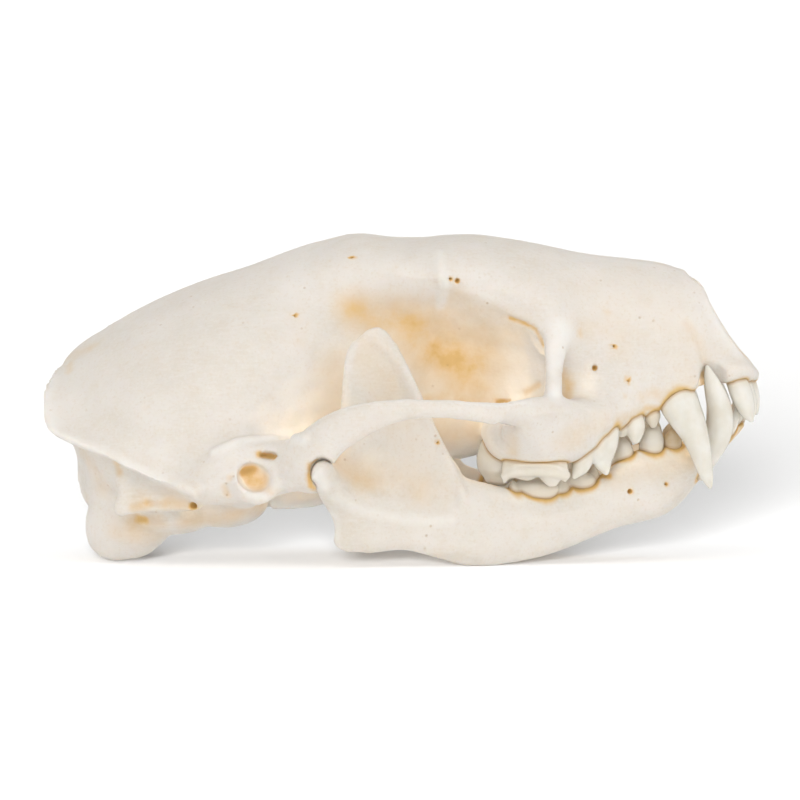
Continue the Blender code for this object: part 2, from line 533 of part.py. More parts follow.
def limb(name, table, side=1, samples=18, sides=14, up=(0.0, 0.0, 1.0)):
    """A rounded form along a path of points, with an oval section of changing size."""
    rows = curve_through(table, samples)
    spine = rows[:, :3] * (1.0, side, 1.0)
    along = np.gradient(spine, axis=0)
    along /= np.linalg.norm(along, axis=1)[:, None]
    across = np.cross(along, np.array(up))
    across /= np.linalg.norm(across, axis=1)[:, None]
    tall = np.cross(across, along)
    angle = np.linspace(0.0, 2 * np.pi, sides, endpoint=False)
    rings = [
        centre + np.outer(np.cos(angle) * row[3], a) + np.outer(np.sin(angle) * row[4], t)
        for centre, row, a, t in zip(spine, rows, across, tall)
    ]
    # A smaller ring beyond each end rounds it off.
    for end, sign in ((0, -1), (-1, 1)):
        cap = spine[end] + sign * 0.6 * min(rows[end, 3:5]) * along[end]
        ring = cap + 0.62 * (rings[end] - spine[end])
        rings = [ring, *rings] if end == 0 else [*rings, ring]
    return skin_over(name, np.array(rings))


def blade(name, table, side=1, samples=24, sides=12, spread=0.4):
    """A plate between a free edge and points inside the bone, thicker at its root."""
    flat = [(*edge, *root, thick) for edge, root, thick in table]
    rows = curve_through(flat, samples)
    edge, root = rows[:, :3] * (1.0, side, 1.0), rows[:, 3:6] * (1.0, side, 1.0)
    middle, reach = (edge + root) / 2, (edge - root) / 2
    along = np.gradient(middle, axis=0)
    face = np.cross(along, reach)
    face /= np.linalg.norm(face, axis=1)[:, None]
    angle = np.linspace(0.0, 2 * np.pi, sides, endpoint=False)
    rings = [
        m
        + np.outer(power(np.cos(angle), 0.8), r)
        + np.outer(np.sin(angle) * row[6] * (1.0 - spread * np.cos(angle)) / 2, f)
        for m, r, f, row in zip(middle, reach, face, rows)
    ]
    return skin_over(name, np.array(rings))


def blob(name, centre, half_sizes, side=1, turn=(0.0, 0.0, 0.0)):
    """An egg-shaped swelling."""
    form = bmesh.new()
    bmesh.ops.create_icosphere(form, subdivisions=3, radius=1.0)
    stretch = Matrix.Diagonal((*half_sizes, 1.0))
    spin = Matrix.Identity(4)
    for axis, degrees in zip("XYZ", turn):
        spin = Matrix.Rotation(np.radians(degrees * (side if axis != "Y" else 1)), 4, axis) @ spin
    place = Matrix.Translation(Vector((centre[0], centre[1] * side, centre[2])))
    bmesh.ops.transform(form, matrix=place @ spin @ stretch, verts=form.verts)
    return new_object(name, form)


def slab(name, outline, low, high):
    """A straight-sided slice with the given outline in x and z, between two widths."""
    rings = np.array([[(x, y, z) for x, z in outline] for y in (low, high)])
    return skin_over(name, rings)


def follow(obj, midline):
    """Bends a form that was laid out on y = 0 so that it follows a midline."""
    rows = np.array(midline, float)
    for vertex in obj.data.vertices:
        vertex.co.y += fitted(rows[:, 0], rows, np.array([vertex.co.x]))[0, 1]


def both(make, name, *details, **options):
    """The same form on the left and on the right of the skull."""
    return [make(name, *details, side=side, **options) for side in (1, -1)]


def joined(name, pieces):
    """Several forms as one object, still overlapping."""
    form = bmesh.new()
    for piece in pieces:
        form.from_mesh(piece.data)
        bpy.data.objects.remove(piece)
    return new_object(name, form)


def settle(obj):
    """Replaces the object's mesh by what its modifiers make of it."""
    bpy.context.view_layer.update()
    graph = bpy.context.evaluated_depsgraph_get()
    mesh = bpy.data.meshes.new_from_object(obj.evaluated_get(graph))
    obj.modifiers.clear()
    obj.data = mesh


def fuse(obj, voxel, rounds):
    """One even skin round everything in the object, eased where forms meet."""
    skin = obj.modifiers.new("skin", "REMESH")
    skin.mode = "VOXEL"
    skin.voxel_size = voxel
    if rounds:
        ease = obj.modifiers.new("ease", "SMOOTH")
        ease.factor = 0.5
        ease.iterations = rounds
    settle(obj)


def cut(obj, cutter):
    """Takes the cutter's volume out of the object."""
    boolean = obj.modifiers.new("cut", "BOOLEAN")
    boolean.operation = "DIFFERENCE"
    boolean.solver = "EXACT"
    boolean.object = cutter
    settle(obj)
    bpy.data.objects.remove(cutter)


def thin(obj, triangles):
    """Fewer, larger triangles, with the form kept."""
    form = bmesh.new()
    form.from_mesh(obj.data)
    bmesh.ops.triangulate(form, faces=form.faces)
    form.to_mesh(obj.data)
    form.free()
    fewer = obj.modifiers.new("fewer", "DECIMATE")
    fewer.ratio = min(1.0, triangles / len(obj.data.polygons))
    settle(obj)


def build_cranium():
    clay = [
        loft("braincase", BRAINCASE),
        loft("forehead", FOREHEAD, samples=60),
        loft("orbit_keel", ORBIT_KEEL),
        loft("snout", SNOUT, samples=60),
        loft("palate", PALATE),
        loft("skull_base", SKULL_BASE),
        blade("sagittal_crest", SAGITTAL_CREST),
        *both(blade, "nuchal_crest", NUCHAL_CREST, samples=40),
        *both(limb, "tooth_row", TOOTH_ROW_BONE, samples=40),
        *both(limb, "cheek_arch", CHEEK_ARCH, samples=48),
        *both(limb, "orbit_bar", ORBIT_BAR, up=(0.0, 1.0, 0.0)),
        *both(limb, "ear_shelf", EAR_SHELF, samples=30),
        *both(limb, "glenoid", GLENOID_BLOCK),
        *both(limb, "ear_tube", EAR_TUBE),
        *both(limb, "paroccipital", PAROCCIPITAL, up=(1.0, 0.0, 0.0)),
        *both(limb, "paroccipital_ridge", PAROCCIPITAL_RIDGE),
        *both(limb, "condyle", CONDYLE, up=(0.0, 1.0, 0.0)),
        *both(blade, "pterygoid", PTERYGOID_PLATE, spread=0.1),
        *both(blob, "ear_bulla", *EAR_BULLA),
        *both(blob, "exoccipital", *EXOCCIPITAL),
        *both(blob, "brow_point", *BROW_POINT),
        *both(blob, "basin", *BASIN),
    ]
    cranium = joined("cranium", clay)
    fuse(cranium, BONE_VOXEL, 4)
    hollows = [
        loft("nasal_cavity", NASAL_CAVITY),
        slab("nose_rim", NOSE_RIM, -9.0, 9.0),
        loft("choana", CHOANA),
        limb("foramen_magnum", FORAMEN_MAGNUM),
        *both(limb, "cheek_canal", CHEEK_CANAL),
        *both(limb, "ear_hole", EAR_HOLE),
        *both(limb, "ear_slit", EAR_SLIT),
        *both(limb, "jaw_socket", JAW_SOCKET),
        *both(blob, "canine_notch", *LOWER_CANINE_NOTCH),
    ]
    for hollow in hollows:
        cut(cranium, hollow)
    fuse(cranium, BONE_VOXEL, 2)
    thin(cranium, CRANIUM_TRIANGLES)
    return cranium


def build_jaw():
    """The left half of the lower jaw."""
    clay = [
        loft("ramus", RAMUS, samples=60),
        loft("jaw_body", JAW_BODY, samples=60),
    ]
    for piece in clay:
        follow(piece, JAW_MIDLINE)
    clay += [
        limb("jaw_condyle", JAW_CONDYLE),
        limb("jaw_neck", JAW_NECK),
        limb("coronoid_edge", CORONOID_EDGE, up=(1.0, 0.0, 0.0)),
        limb("jaw_angle", JAW_ANGLE),
    ]
    jaw = joined("mandible_left", clay)
    fuse(jaw, BONE_VOXEL, 3)
    cut(jaw, slab("beyond_midline", FRONT_BOX, -12.0, JAW_GAP / 2))
    thin(jaw, MANDIBLE_TRIANGLES)
    return jaw


def build_tooth(name, table, triangles):
    """One tooth of the left side: its cusps and root run into each other."""
    clay = [limb(name, cusp, up=(1.0, 0.0, 0.0), samples=12, sides=12) for cusp in table]
    tooth = joined(name, clay)
    fuse(tooth, TOOTH_VOXEL, 2)
    thin(tooth, triangles)
    return tooth


def mirrored(obj, name):
    """The same piece on the right side."""
    mesh = obj.data.copy()
    mesh.name = name
    mesh.transform(Matrix.Diagonal((1.0, -1.0, 1.0, 1.0)))
    mesh.flip_normals()
    twin = bpy.data.objects.new(name, mesh)
    bpy.context.scene.collection.objects.link(twin)
    return twin


def sockets(bone, teeth):
    """Cuts a socket in the bone for each tooth, a little larger than the tooth."""
    for tooth in teeth:
        swollen = tooth.copy()
        swollen.data = tooth.data.copy()
        bpy.context.scene.collection.objects.link(swollen)
        mesh = swollen.data
        normals = [v.normal.copy() for v in mesh.vertices]
        for vertex, normal in zip(mesh.vertices, normals):
            vertex.co += normal * SOCKET_GAP
        cut(bone, swollen)


def bone_material(name, colour, roughness):
    material = bpy.data.materials.new(name)
    material.use_nodes = True
    shader = material.node_tree.nodes["Principled BSDF"]
    shader.inputs["Base Color"].default_value = (*colour, 1.0)
    shader.inputs["Roughness"].default_value = roughness
    return material


def main():
    for old in list(bpy.data.objects):
        bpy.data.objects.remove(old)

    cranium = build_cranium()
    left_jaw = build_jaw()
    right_jaw = mirrored(left_jaw, "mandible_right")
    upper, lower = [], []
    for row, teeth in (("upper", upper), ("lower", lower)):
        for kind, (table, triangles) in TEETH[row].items():
            left = build_tooth(f"{row}_{kind}_left", table, triangles)
            teeth += [left, mirrored(left, f"{row}_{kind}_right")]
    sockets(cranium, upper)
    sockets(left_jaw, [t for t in lower if t.name.endswith("left")])
    sockets(right_jaw, [t for t in lower if t.name.endswith("right")])

    for obj in (cranium, left_jaw, right_jaw):
        obj.data.materials.append(bone_material(obj.name, (0.86, 0.80, 0.68), 0.55))
    for obj in upper + lower:
        obj.data.materials.append(bone_material(obj.name, (0.90, 0.87, 0.79), 0.25))

    pieces = (cranium, left_jaw, right_jaw, *upper, *lower)
    corners = np.array([vertex.co for piece in pieces for vertex in piece.data.vertices])
    low, high = corners.min(axis=0), corners.max(axis=0)
    centre = (low + high) / 2
    onto_table = Matrix.Translation((-centre[0], -centre[1], -low[2]))
    for obj in pieces:
        obj.data.transform(Matrix.Scale(SCALE_TO_METRES, 4) @ onto_table)
        obj.data.shade_smooth()


main()
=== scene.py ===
# %% [markdown]
# # A skunk skull
#
# A dry, bleached skull with its jaw closed, resting on its lower jaw and on the two knobs
# at the back of the head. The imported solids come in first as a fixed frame: they give every
# bone and tooth its place, and this notebook gives them their finer shape and their finish.

# %% Load the frame
import math
import bpy
import numpy as np
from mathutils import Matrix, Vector
from mathutils.bvhtree import BVHTree
from mathutils.kdtree import KDTree


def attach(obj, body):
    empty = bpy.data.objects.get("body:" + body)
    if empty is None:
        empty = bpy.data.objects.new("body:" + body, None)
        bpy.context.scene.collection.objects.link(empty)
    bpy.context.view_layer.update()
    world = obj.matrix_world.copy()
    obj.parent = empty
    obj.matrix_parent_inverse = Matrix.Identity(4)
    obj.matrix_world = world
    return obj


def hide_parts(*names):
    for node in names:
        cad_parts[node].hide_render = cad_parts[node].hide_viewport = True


MM = 0.001


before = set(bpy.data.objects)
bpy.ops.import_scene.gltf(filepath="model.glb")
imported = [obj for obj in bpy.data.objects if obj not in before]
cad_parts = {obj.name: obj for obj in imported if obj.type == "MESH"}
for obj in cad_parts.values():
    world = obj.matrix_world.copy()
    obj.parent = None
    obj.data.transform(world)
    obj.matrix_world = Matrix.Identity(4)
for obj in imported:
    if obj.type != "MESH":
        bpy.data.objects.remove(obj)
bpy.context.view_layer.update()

# %% [markdown]
# ## Camera
#
# The skull is seen square from its right side, from a few degrees above the table. A long
# lens 2.4 metres away keeps the near cheek and the far one nearly the same size, as in the
# photograph. The standard view transform keeps a white table white.

# %% Set the camera
target = Vector((-0.00026, 0.0, 0.01595))
tilt = math.radians(3.0)
distance = 2.4
SENSOR_WIDTH, VIEW_WIDTH = 36.0, 0.080  # in the camera in mm, and at the skull in metres
camera_data = bpy.data.cameras.new("camera")
camera_data.sensor_width = SENSOR_WIDTH
camera_data.lens = SENSOR_WIDTH * distance / VIEW_WIDTH
camera_data.clip_start, camera_data.clip_end = 0.5, 60.0
camera = bpy.data.objects.new("camera", camera_data)
bpy.context.scene.collection.objects.link(camera)
camera.location = target + distance * Vector((0.0, -math.cos(tilt), math.sin(tilt)))
camera.rotation_euler = (math.pi / 2 - tilt, 0.0, 0.0)
bpy.context.scene.camera = camera
bpy.context.scene.view_settings.view_transform = "Standard"
print("lens", round(camera_data.lens), "mm at", distance, "m")

# %% [markdown]
# ## Table and light
#
# The skull lies on a plain table. A large disc makes it, far wider than the picture, so its
# edge is never seen. Objects are edited as by hand, so three helpers come first: one
# selects, one opens an object for editing and one closes it.

# %% Make the table
def only(*things):
    """Selects these objects and nothing else, and makes the first one active."""
    bpy.ops.object.select_all(action="DESELECT")
    for thing in things:
        thing.select_set(True)
    bpy.context.view_layer.objects.active = things[0] if things else None


def edit(thing):
    """Opens an object in edit mode with all of it selected."""
    only(thing)
    bpy.ops.object.mode_set(mode="EDIT")
    bpy.ops.mesh.select_all(action="SELECT")


def done():
    bpy.ops.object.mode_set(mode="OBJECT")


TABLE_RADIUS, TABLE_RIM = 6.0, 1.0
only()
bpy.ops.mesh.primitive_circle_add(vertices=96, radius=TABLE_RADIUS, fill_type="NGON")
table = bpy.context.object
table.name = "table_top"
edit(table)
bpy.ops.mesh.inset(thickness=TABLE_RIM)
done()
print("table", 2 * TABLE_RADIUS, "m across")

# %% [markdown]
# ## Light
#
# The skull is lit softly from all round. A white surround gives half of the light. The rest
# comes from the camera's side and a little above, as from tall windows, which are sun lamps
# with a very wide angle. A small lamp gives the teeth their gleams. The last lamp grazes the
# table alone. It makes the grey card white and lays the skull's soft shadow on it, without
# flattening the light on the bone.

# %% Light the skull
world = bpy.context.scene.world or bpy.data.worlds.new("surround")
bpy.context.scene.world = world
world.use_nodes = True
surround = world.node_tree.nodes["Background"]
surround.inputs["Color"].default_value = (1.0, 0.995, 0.985, 1.0)
surround.inputs["Strength"].default_value = 0.80


def lamp(name, kind, place, power, spread=None, size=None):
    """A lamp that faces the skull: a sun has a spread in degrees, and an area lamp a size."""
    data = bpy.data.lights.new(name, kind)
    data.energy = power
    if spread:
        data.angle = math.radians(spread)
    if size:
        data.size = size
    made = bpy.data.objects.new(name, data)
    bpy.context.scene.collection.objects.link(made)
    made.location = place
    made.rotation_euler = (target - Vector(place)).to_track_quat("-Z", "Y").to_euler()
    return made


lamp("tall_window", "SUN", (-0.35, -1.5, 1.3), power=0.82, spread=40.0)
lamp("side_window", "SUN", (1.5, -1.1, 0.45), power=0.45, spread=40.0)
lamp("lamp_front", "AREA", (0.35, -1.2, 0.55), power=0.6, size=0.30)
floor_lamp = lamp("floor_lamp", "SUN", (-0.07, -1.5, 0.13), power=34.0, spread=10.0)
table_only = bpy.data.collections.new("table_only")
table_only.objects.link(table)
floor_lamp.light_linking.receiver_collection = table_only

# %% [markdown]
# ## How a bone is shaped
#
# A bone's form changes all along it, so each main form starts as a filled circle that is
# extruded again and again into a column of rings. Every ring is then moved to its own
# place and size. Each table below lists a few measured stations of one form, in
# millimetres: X runs towards the nose, Y to the left cheek and Z up. A smooth curve through
# the stations gives the rings between them. It is monotone, so it never swells past them.

# %% Columns of rings
columns = {}


def column(count, sides):
    """The mesh of a circle extruded into a column, with each vertex's ring and place in it."""
    if (count, sides) not in columns:
        only()
        bpy.ops.mesh.primitive_circle_add(vertices=sides, radius=1.0, fill_type="NGON")
        first = bpy.context.object
        edit(first)
        for _ in range(count - 1):
            bpy.ops.mesh.extrude_region_move(TRANSFORM_OT_translate={"value": (0.0, 0.0, 1.0)})
        done()
        mesh = first.data
        x, y, z = positions(mesh).T
        turn = 2 * np.pi / sides
        start = np.arctan2(y[0], x[0])
        side = np.rint((np.arctan2(y, x) - start) / turn).astype(int) % sides
        columns[count, sides] = (mesh, np.rint(z).astype(int), side)
        bpy.data.objects.remove(first)
    return columns[count, sides]


def positions(mesh):
    places = np.empty(len(mesh.vertices) * 3)
    mesh.vertices.foreach_get("co", places)
    return places.reshape(-1, 3)


def place_all(mesh, places):
    mesh.vertices.foreach_set("co", np.asarray(places, float).ravel())
    mesh.update()


def face_out(thing):
    """Turns every face outwards."""
    edit(thing)
    bpy.ops.mesh.normals_make_consistent(inside=False)
    done()
    return thing


def form(name, rings):
    """A column whose rings are moved to the given places."""
    rings = np.asarray(rings, float)
    mesh, ring, side = column(len(rings), rings.shape[1])
    thing = bpy.data.objects.new(name, mesh.copy())
    bpy.context.scene.collection.objects.link(thing)
    place_all(thing.data, rings[ring, side])
    return face_out(thing)


print("a column of 4 rings of 6 has", len(column(4, 6)[0].polygons), "faces")

# %% Curves through measured stations
def fitted(at, rows, wanted):
    """Monotone cubic interpolation: it never swings past the rows that it joins."""
    gap = np.diff(at)[:, None]
    slope = np.diff(rows, axis=0) / gap
    bend = np.zeros_like(rows)
    before, after = slope[:-1], slope[1:]
    w1, w2 = 2 * gap[1:] + gap[:-1], gap[1:] + 2 * gap[:-1]
    with np.errstate(divide="ignore", invalid="ignore"):
        mean = (w1 + w2) / (w1 / before + w2 / after)
    bend[1:-1] = np.where(before * after > 0, mean, 0.0)
    bend[0], bend[-1] = slope[0], slope[-1]
    k = np.clip(np.searchsorted(at, wanted) - 1, 0, len(at) - 2)
    t = ((wanted - at[k]) / (at[k + 1] - at[k]))[:, None]
    h = (at[k + 1] - at[k])[:, None]
    return (
        (2 * t**3 - 3 * t**2 + 1) * rows[k] + (t**3 - 2 * t**2 + t) * h * bend[k]
        + (3 * t**2 - 2 * t**3) * rows[k + 1] + (t**3 - t**2) * h * bend[k + 1]
    )


def curve_through(table, count):
    """Rows spaced evenly along a smooth path through the table's points."""
    rows = np.array(table, float)
    steps = np.linalg.norm(np.diff(rows[:, :3], axis=0), axis=1)
    at = np.concatenate([[0.0], np.cumsum(np.maximum(steps, 1e-6))])
    return fitted(at, rows, np.linspace(0.0, at[-1], count))


def power(value, exponent):
    return np.sign(value) * np.abs(value) ** exponent


def unit(rows):
    return rows / np.linalg.norm(rows, axis=1)[:, None]


three_rows = np.array([[0.0], [1.0], [4.0]])
print("between 1 and 4, after 0:", fitted(np.arange(3.0), three_rows, np.array([1.5]))[0])

# %% Three kinds of form
def loft(name, table, count=90, sides=96):
    """A hull along X. A row is x, top, bottom, half width, height of the widest point, and
    how square the section is above and below that point: 2 is an ellipse."""
    rows = np.array(table, float)
    rows = fitted(rows[:, 0], rows, np.linspace(rows[0, 0], rows[-1, 0], count))
    angle = np.linspace(0.0, 2 * np.pi, sides, endpoint=False)
    rings = []
    for x, top, bottom, half, widest, above, below in rows:
        square = np.where(np.sin(angle) > 0, above, below)
        reach = np.where(np.sin(angle) > 0, top - widest, widest - bottom)
        y = half * power(np.cos(angle), 2 / square)
        z = widest + reach * power(np.sin(angle), 2 / square)
        rings.append(np.column_stack([np.full(sides, x), y, z]))
    return form(name, rings)


def limb(name, table, side=1, up=(0.0, 0.0, 1.0), count=30, sides=24):
    """A rounded limb along a path. A row is x, y, z, half size across and half height."""
    rows = curve_through(table, count)
    spine = rows[:, :3] * (1.0, side, 1.0)
    along = unit(np.gradient(spine, axis=0))
    across = unit(np.cross(along, np.array(up)))
    tall = np.cross(across, along)
    angle = np.linspace(0.0, 2 * np.pi, sides, endpoint=False)
    rings = [
        centre + np.outer(np.cos(angle) * row[3], a) + np.outer(np.sin(angle) * row[4], t)
        for centre, row, a, t in zip(spine, rows, across, tall)
    ]

    def rounded(end, way):
        """Two smaller rings beyond an end, which round it off."""
        return [
            spine[end] + way * reach * min(rows[end, 3:5]) * along[end]
            + shrink * (rings[end] - spine[end])
            for reach, shrink in ((0.45, 0.8), (0.7, 0.4))
        ]

    return form(name, [*rounded(0, -1)[::-1], *rings, *rounded(-1, 1)])


def blade(name, table, side=1, count=60, sides=20, spread=0.4):
    """A thin plate. A row is a point on its free edge, one inside the bone, and its thickness."""
    rows = curve_through([(*edge, *root, thick) for edge, root, thick in table], count)
    edge, root = rows[:, :3] * (1.0, side, 1.0), rows[:, 3:6] * (1.0, side, 1.0)
    middle, reach = (edge + root) / 2, (edge - root) / 2
    face = unit(np.cross(np.gradient(middle, axis=0), reach))
    angle = np.linspace(0.0, 2 * np.pi, sides, endpoint=False)
    return form(name, [
        m + np.outer(power(np.cos(angle), 0.8), r)
        + np.outer(np.sin(angle) * row[6] * (1.0 - spread * np.cos(angle)) / 2, f)
        for m, r, f, row in zip(middle, reach, face, rows)
    ])


def egg(name, centre, half_sizes, side=1):
    """A swelling, from a sphere."""
    only()
    place = (centre[0], centre[1] * side, centre[2])
    bpy.ops.mesh.primitive_ico_sphere_add(subdivisions=5, radius=1.0, location=place)
    thing = bpy.context.object
    thing.name = name
    thing.scale = half_sizes
    bpy.ops.object.transform_apply(location=True, rotation=True, scale=True)
    return thing


def slab(name, outline, low, high):
    """A straight-sided slice with the given outline in x and z, between two widths."""
    return form(name, [[(x, y, z) for x, z in outline] for y in (low, high)])


def both(make, name, *details, **options):
    """The same form on the left and on the right."""
    return [make(name, *details, side=side, **options) for side in (1, -1)]


clay = []
print("loft, limb, blade, egg and slab are ready")

# %% [markdown]
# ## Braincase and forehead
#
# The braincase is an egg, widest low down and tapered to the crests at the back. The
# forehead is the roof over the eyes. Below them the keel between the orbits and the base of
# the skull close it. A lofted hull suits all four, because their section changes slowly.

# %% Shape the braincase and forehead
BRAINCASE = (
    (-33.9, 19, 14.6, 2.6, 16, 1.8, 2),
    (-33.2, 20.8, 12.9, 6, 15.2, 1.75, 2.2),
    (-32.3, 21.6, 10.6, 8.6, 14, 1.7, 2.3),
    (-31.2, 22.3, 7.8, 10.2, 13.4, 1.7, 2.4),
    (-29, 23.4, 5.8, 12.3, 12.8, 1.7, 2.6),
    (-25, 25.6, 5, 14.2, 13, 1.75, 2.8),
    (-20, 27.8, 5, 15, 13.6, 1.8, 2.8),
    (-15, 29.5, 5.6, 14.4, 14.6, 1.85, 2.6),
    (-11, 31, 7, 13.1, 16, 1.9, 2.4),
    (-8, 31.8, 8, 11.8, 17.4, 1.9, 2.3),
    (-5.5, 32, 9.4, 10.2, 19, 1.9, 2.2),
    (-3, 31.8, 11.4, 8.8, 20.6, 2, 2),
    (2, 31.2, 15, 7.4, 23, 2.2, 2),
    (5, 30, 20, 5.2, 25, 2.2, 2),
)
FOREHEAD = (
    (-17, 27.6, 22, 5, 25, 2.2, 2),
    (-12, 30, 23, 6.6, 26.2, 2.2, 2),
    (-8, 31.6, 23.4, 7.8, 27.2, 2.2, 1.9),
    (-4, 32.7, 23.2, 8.6, 27.8, 2.2, 1.9),
    (0, 32.3, 22.6, 9.2, 28.3, 2.3, 1.8),
    (2.5, 32.3, 22.2, 9.7, 28.7, 2.4, 1.8),
    (4.3, 32.5, 22, 10.1, 28.8, 2.4, 1.8),
    (7, 32.6, 21.2, 9.9, 27.9, 2.3, 1.8),
    (10, 32.3, 20.2, 9.7, 26.6, 2.2, 1.8),
    (12.5, 31.9, 18.8, 9.7, 25.3, 2.2, 1.8),
    (14.6, 31.5, 17.6, 10.2, 23.4, 2.2, 1.8),
    (16.4, 31.1, 17, 9.9, 22, 2.2, 2),
    (18.6, 30.6, 17, 8.4, 22, 2.2, 2),
)
ORBIT_KEEL = (
    (-12, 18, 7.4, 5.4, 13, 2, 2.4),
    (-8, 22, 7.2, 5.8, 14, 2, 2.8),
    (-3, 26, 8, 5.5, 16, 2, 3.2),
    (2, 28, 9.4, 5.2, 17.5, 2, 3.6),
    (7, 28, 10.4, 5.6, 18, 2, 3.8),
    (11, 28, 11.8, 7, 19, 2, 3.6),
    (15, 28, 13, 8.6, 20, 2, 3),
)
SKULL_BASE = (
    (-26.6, 4.6, 2.7, 3.4, 3.6, 2, 2.4),
    (-25, 6.4, 2.8, 5.6, 4.2, 2, 2.6),
    (-22, 8, 3.6, 7.2, 5.2, 2, 2.8),
    (-17, 8.4, 4.7, 6.4, 6.2, 2, 2.8),
    (-12, 8.6, 5.6, 4.8, 6.8, 2, 2.8),
    (-7, 9.6, 6.8, 3.8, 7.8, 2, 2.4),
)

clay += [
    loft("braincase", BRAINCASE),
    loft("forehead", FOREHEAD),
    loft("orbit_keel", ORBIT_KEEL),
    loft("skull_base", SKULL_BASE),
]
print("braincase", len(BRAINCASE), "stations, forehead", len(FOREHEAD))

# %% [markdown]
# ## Snout and palate
#
# The snout is a boxy tube that ends in the open nose. Its lower edges carry the teeth, so a
# thick limb of bone runs along each tooth row, and a flat plate, the palate, closes the
# mouth's roof.

# %% Shape the snout
SNOUT = (
    (11.5, 29, 13.4, 7.4, 20.5, 2.2, 2.8),
    (14, 31, 13.2, 8.8, 20, 2.2, 3),
    (17, 30.9, 13.6, 9, 19.6, 2.2, 3),
    (20, 30.5, 14.8, 8.4, 19.6, 2.2, 3),
    (23, 30.2, 16, 7.6, 19.8, 2.2, 3),
    (26, 29.8, 17, 7.3, 20.4, 2.2, 3),
    (28.4, 29.1, 17.6, 6.9, 20.8, 2.2, 3),
    (30, 29, 17.9, 6.3, 21, 2.3, 3),
    (31, 29, 18, 5.8, 21.4, 2.4, 3),
    (32, 28.6, 18.1, 5.4, 21.6, 2.4, 3),
    (33, 27.6, 18.2, 5, 21.4, 2.4, 3),
    (34, 26, 18.1, 4.5, 20.8, 2.4, 3),
    (35, 23.6, 17.9, 3.6, 20, 2.4, 2.6),
    (35.9, 20.6, 17.7, 2.4, 19, 2.2, 2.2),
)
PALATE = (
    (7.6, 13.8, 12.4, 5.5, 13.1, 3, 3),
    (9.5, 14.6, 12.3, 8, 13.4, 3, 3),
    (14, 16, 13, 9, 14.4, 3, 3),
    (20, 18, 15, 8, 16.4, 3, 3),
    (27, 20, 17.4, 6.4, 18.6, 3, 3),
    (33, 20, 18.2, 4.6, 19, 3, 3),
)
TOOTH_ROW_BONE = (
    (9, 9, 13.4, 1.2, 1.4),
    (10.6, 10.4, 13, 2.4, 2.7),
    (13.5, 10.9, 13, 3, 3.1),
    (16.5, 10.4, 13.4, 2.6, 3.2),
    (19, 9.4, 14.6, 2.2, 2.7),
    (21, 8.5, 15.8, 1.9, 2.6),
    (23, 7.8, 16.6, 1.7, 2.3),
    (25, 7.1, 17.3, 1.6, 2.25),
    (26.4, 6.9, 17.9, 1.8, 2.2),
    (28.2, 6.6, 18.8, 2, 2),
    (30.6, 4.9, 19.2, 1.1, 1.5),
    (33, 4.5, 19.2, 1.5, 1.3),
    (34.4, 3.2, 19.1, 1.3, 1.2),
    (34.9, 0.9, 19, 0.8, 1.1),
)
CHEEK_ROOT = (
    (10.8, 13.6, 13.7, 1.2, 1.2),
    (13, 13.7, 13.3, 1.5, 1.7),
    (15.5, 12.6, 13.1, 1.6, 2),
    (18, 11.2, 13.6, 1.3, 1.8),
)

clay += [
    loft("snout", SNOUT),
    loft("palate", PALATE),
    *both(limb, "tooth_row", TOOTH_ROW_BONE, count=60),
    *both(limb, "cheek_root", CHEEK_ROOT),
]
print("snout from x", SNOUT[0][0], "to", SNOUT[-1][0])

# %% [markdown]
# ## Cheek arch, eye and ear
#
# The cheek arch is a thin curved bar from the jaw joint to the face, and a short upright
# bar closes off the pit under the eye. Behind the jaw joint a shelf of bone hangs over the
# ear's opening, which has a short tube of its own.

# %% Shape the arches and the ear
CHEEK_ARCH = (
    (-13, 14, 10.6, 1.8, 2.4),
    (-10.8, 16.8, 10.5, 1.7, 2.8),
    (-8.8, 18.8, 11.6, 1.6, 2.6),
    (-7, 20.1, 13.4, 1.2, 2.2),
    (-4.6, 21, 14.8, 0.95, 1.9),
    (-2, 21.2, 15.7, 0.85, 1.45),
    (1, 21, 16.2, 0.8, 1.1),
    (4, 20.4, 16.2, 0.8, 1),
    (7, 19.2, 15.9, 0.85, 1.05),
    (10, 17.5, 15.5, 0.95, 1.25),
    (12, 16, 15.3, 1.1, 1.7),
    (14, 14.1, 15, 1.5, 2.2),
    (16, 12.2, 14.6, 1.8, 2.2),
    (18, 10.6, 14.4, 1.6, 2.2),
)
ORBIT_BAR = (
    (15, 12.6, 15.4, 1.2, 1.5),
    (15.2, 12.5, 17.2, 0.98, 1),
    (15.3, 12, 19.2, 0.95, 0.95),
    (15.5, 11.1, 21.2, 1.1, 1.15),
    (15.8, 9.9, 23.2, 1.4, 1.4),
    (16, 8.4, 25.4, 1.7, 1.5),
)
EAR_SHELF = (
    (-20.5, 13.8, 8.6, 1.8, 2),
    (-18.4, 14.8, 9, 2, 2.8),
    (-16.5, 15.1, 9.6, 2.1, 3.2),
    (-13.5, 15.2, 10, 2, 3),
    (-10.5, 16.4, 10.4, 1.8, 2.6),
)
GLENOID_BLOCK = (
    (-8.6, 10.8, 9.6, 2, 2.4),
    (-8.9, 14, 9.8, 2, 2.4),
    (-9, 17, 9.8, 1.9, 2.2),
    (-8.9, 18.7, 9.9, 1.4, 1.9),
)
EAR_TUBE = (
    (-16.4, 9, 7.2, 2.2, 2),
    (-15.6, 12.5, 8, 2.3, 2.2),
    (-14.6, 16.4, 8.9, 2.2, 2.2),
)
EAR_BULLA = ((-17.6, 8.4, 6.6), (4.6, 3.8, 2.9))
EAR_RING = (
    (-15.6, 16.9, 7.1, 0.42, 0.34),
    (-14.3, 17.2, 6.8, 0.5, 0.4),
    (-12.9, 17.3, 7.3, 0.5, 0.42),
    (-12.1, 17.3, 8.5, 0.5, 0.42),
    (-12.2, 17.2, 9.8, 0.42, 0.34),
)
BROW_POINT = ((4.3, 9.4, 28.9), (1.6, 1.0, 0.8))

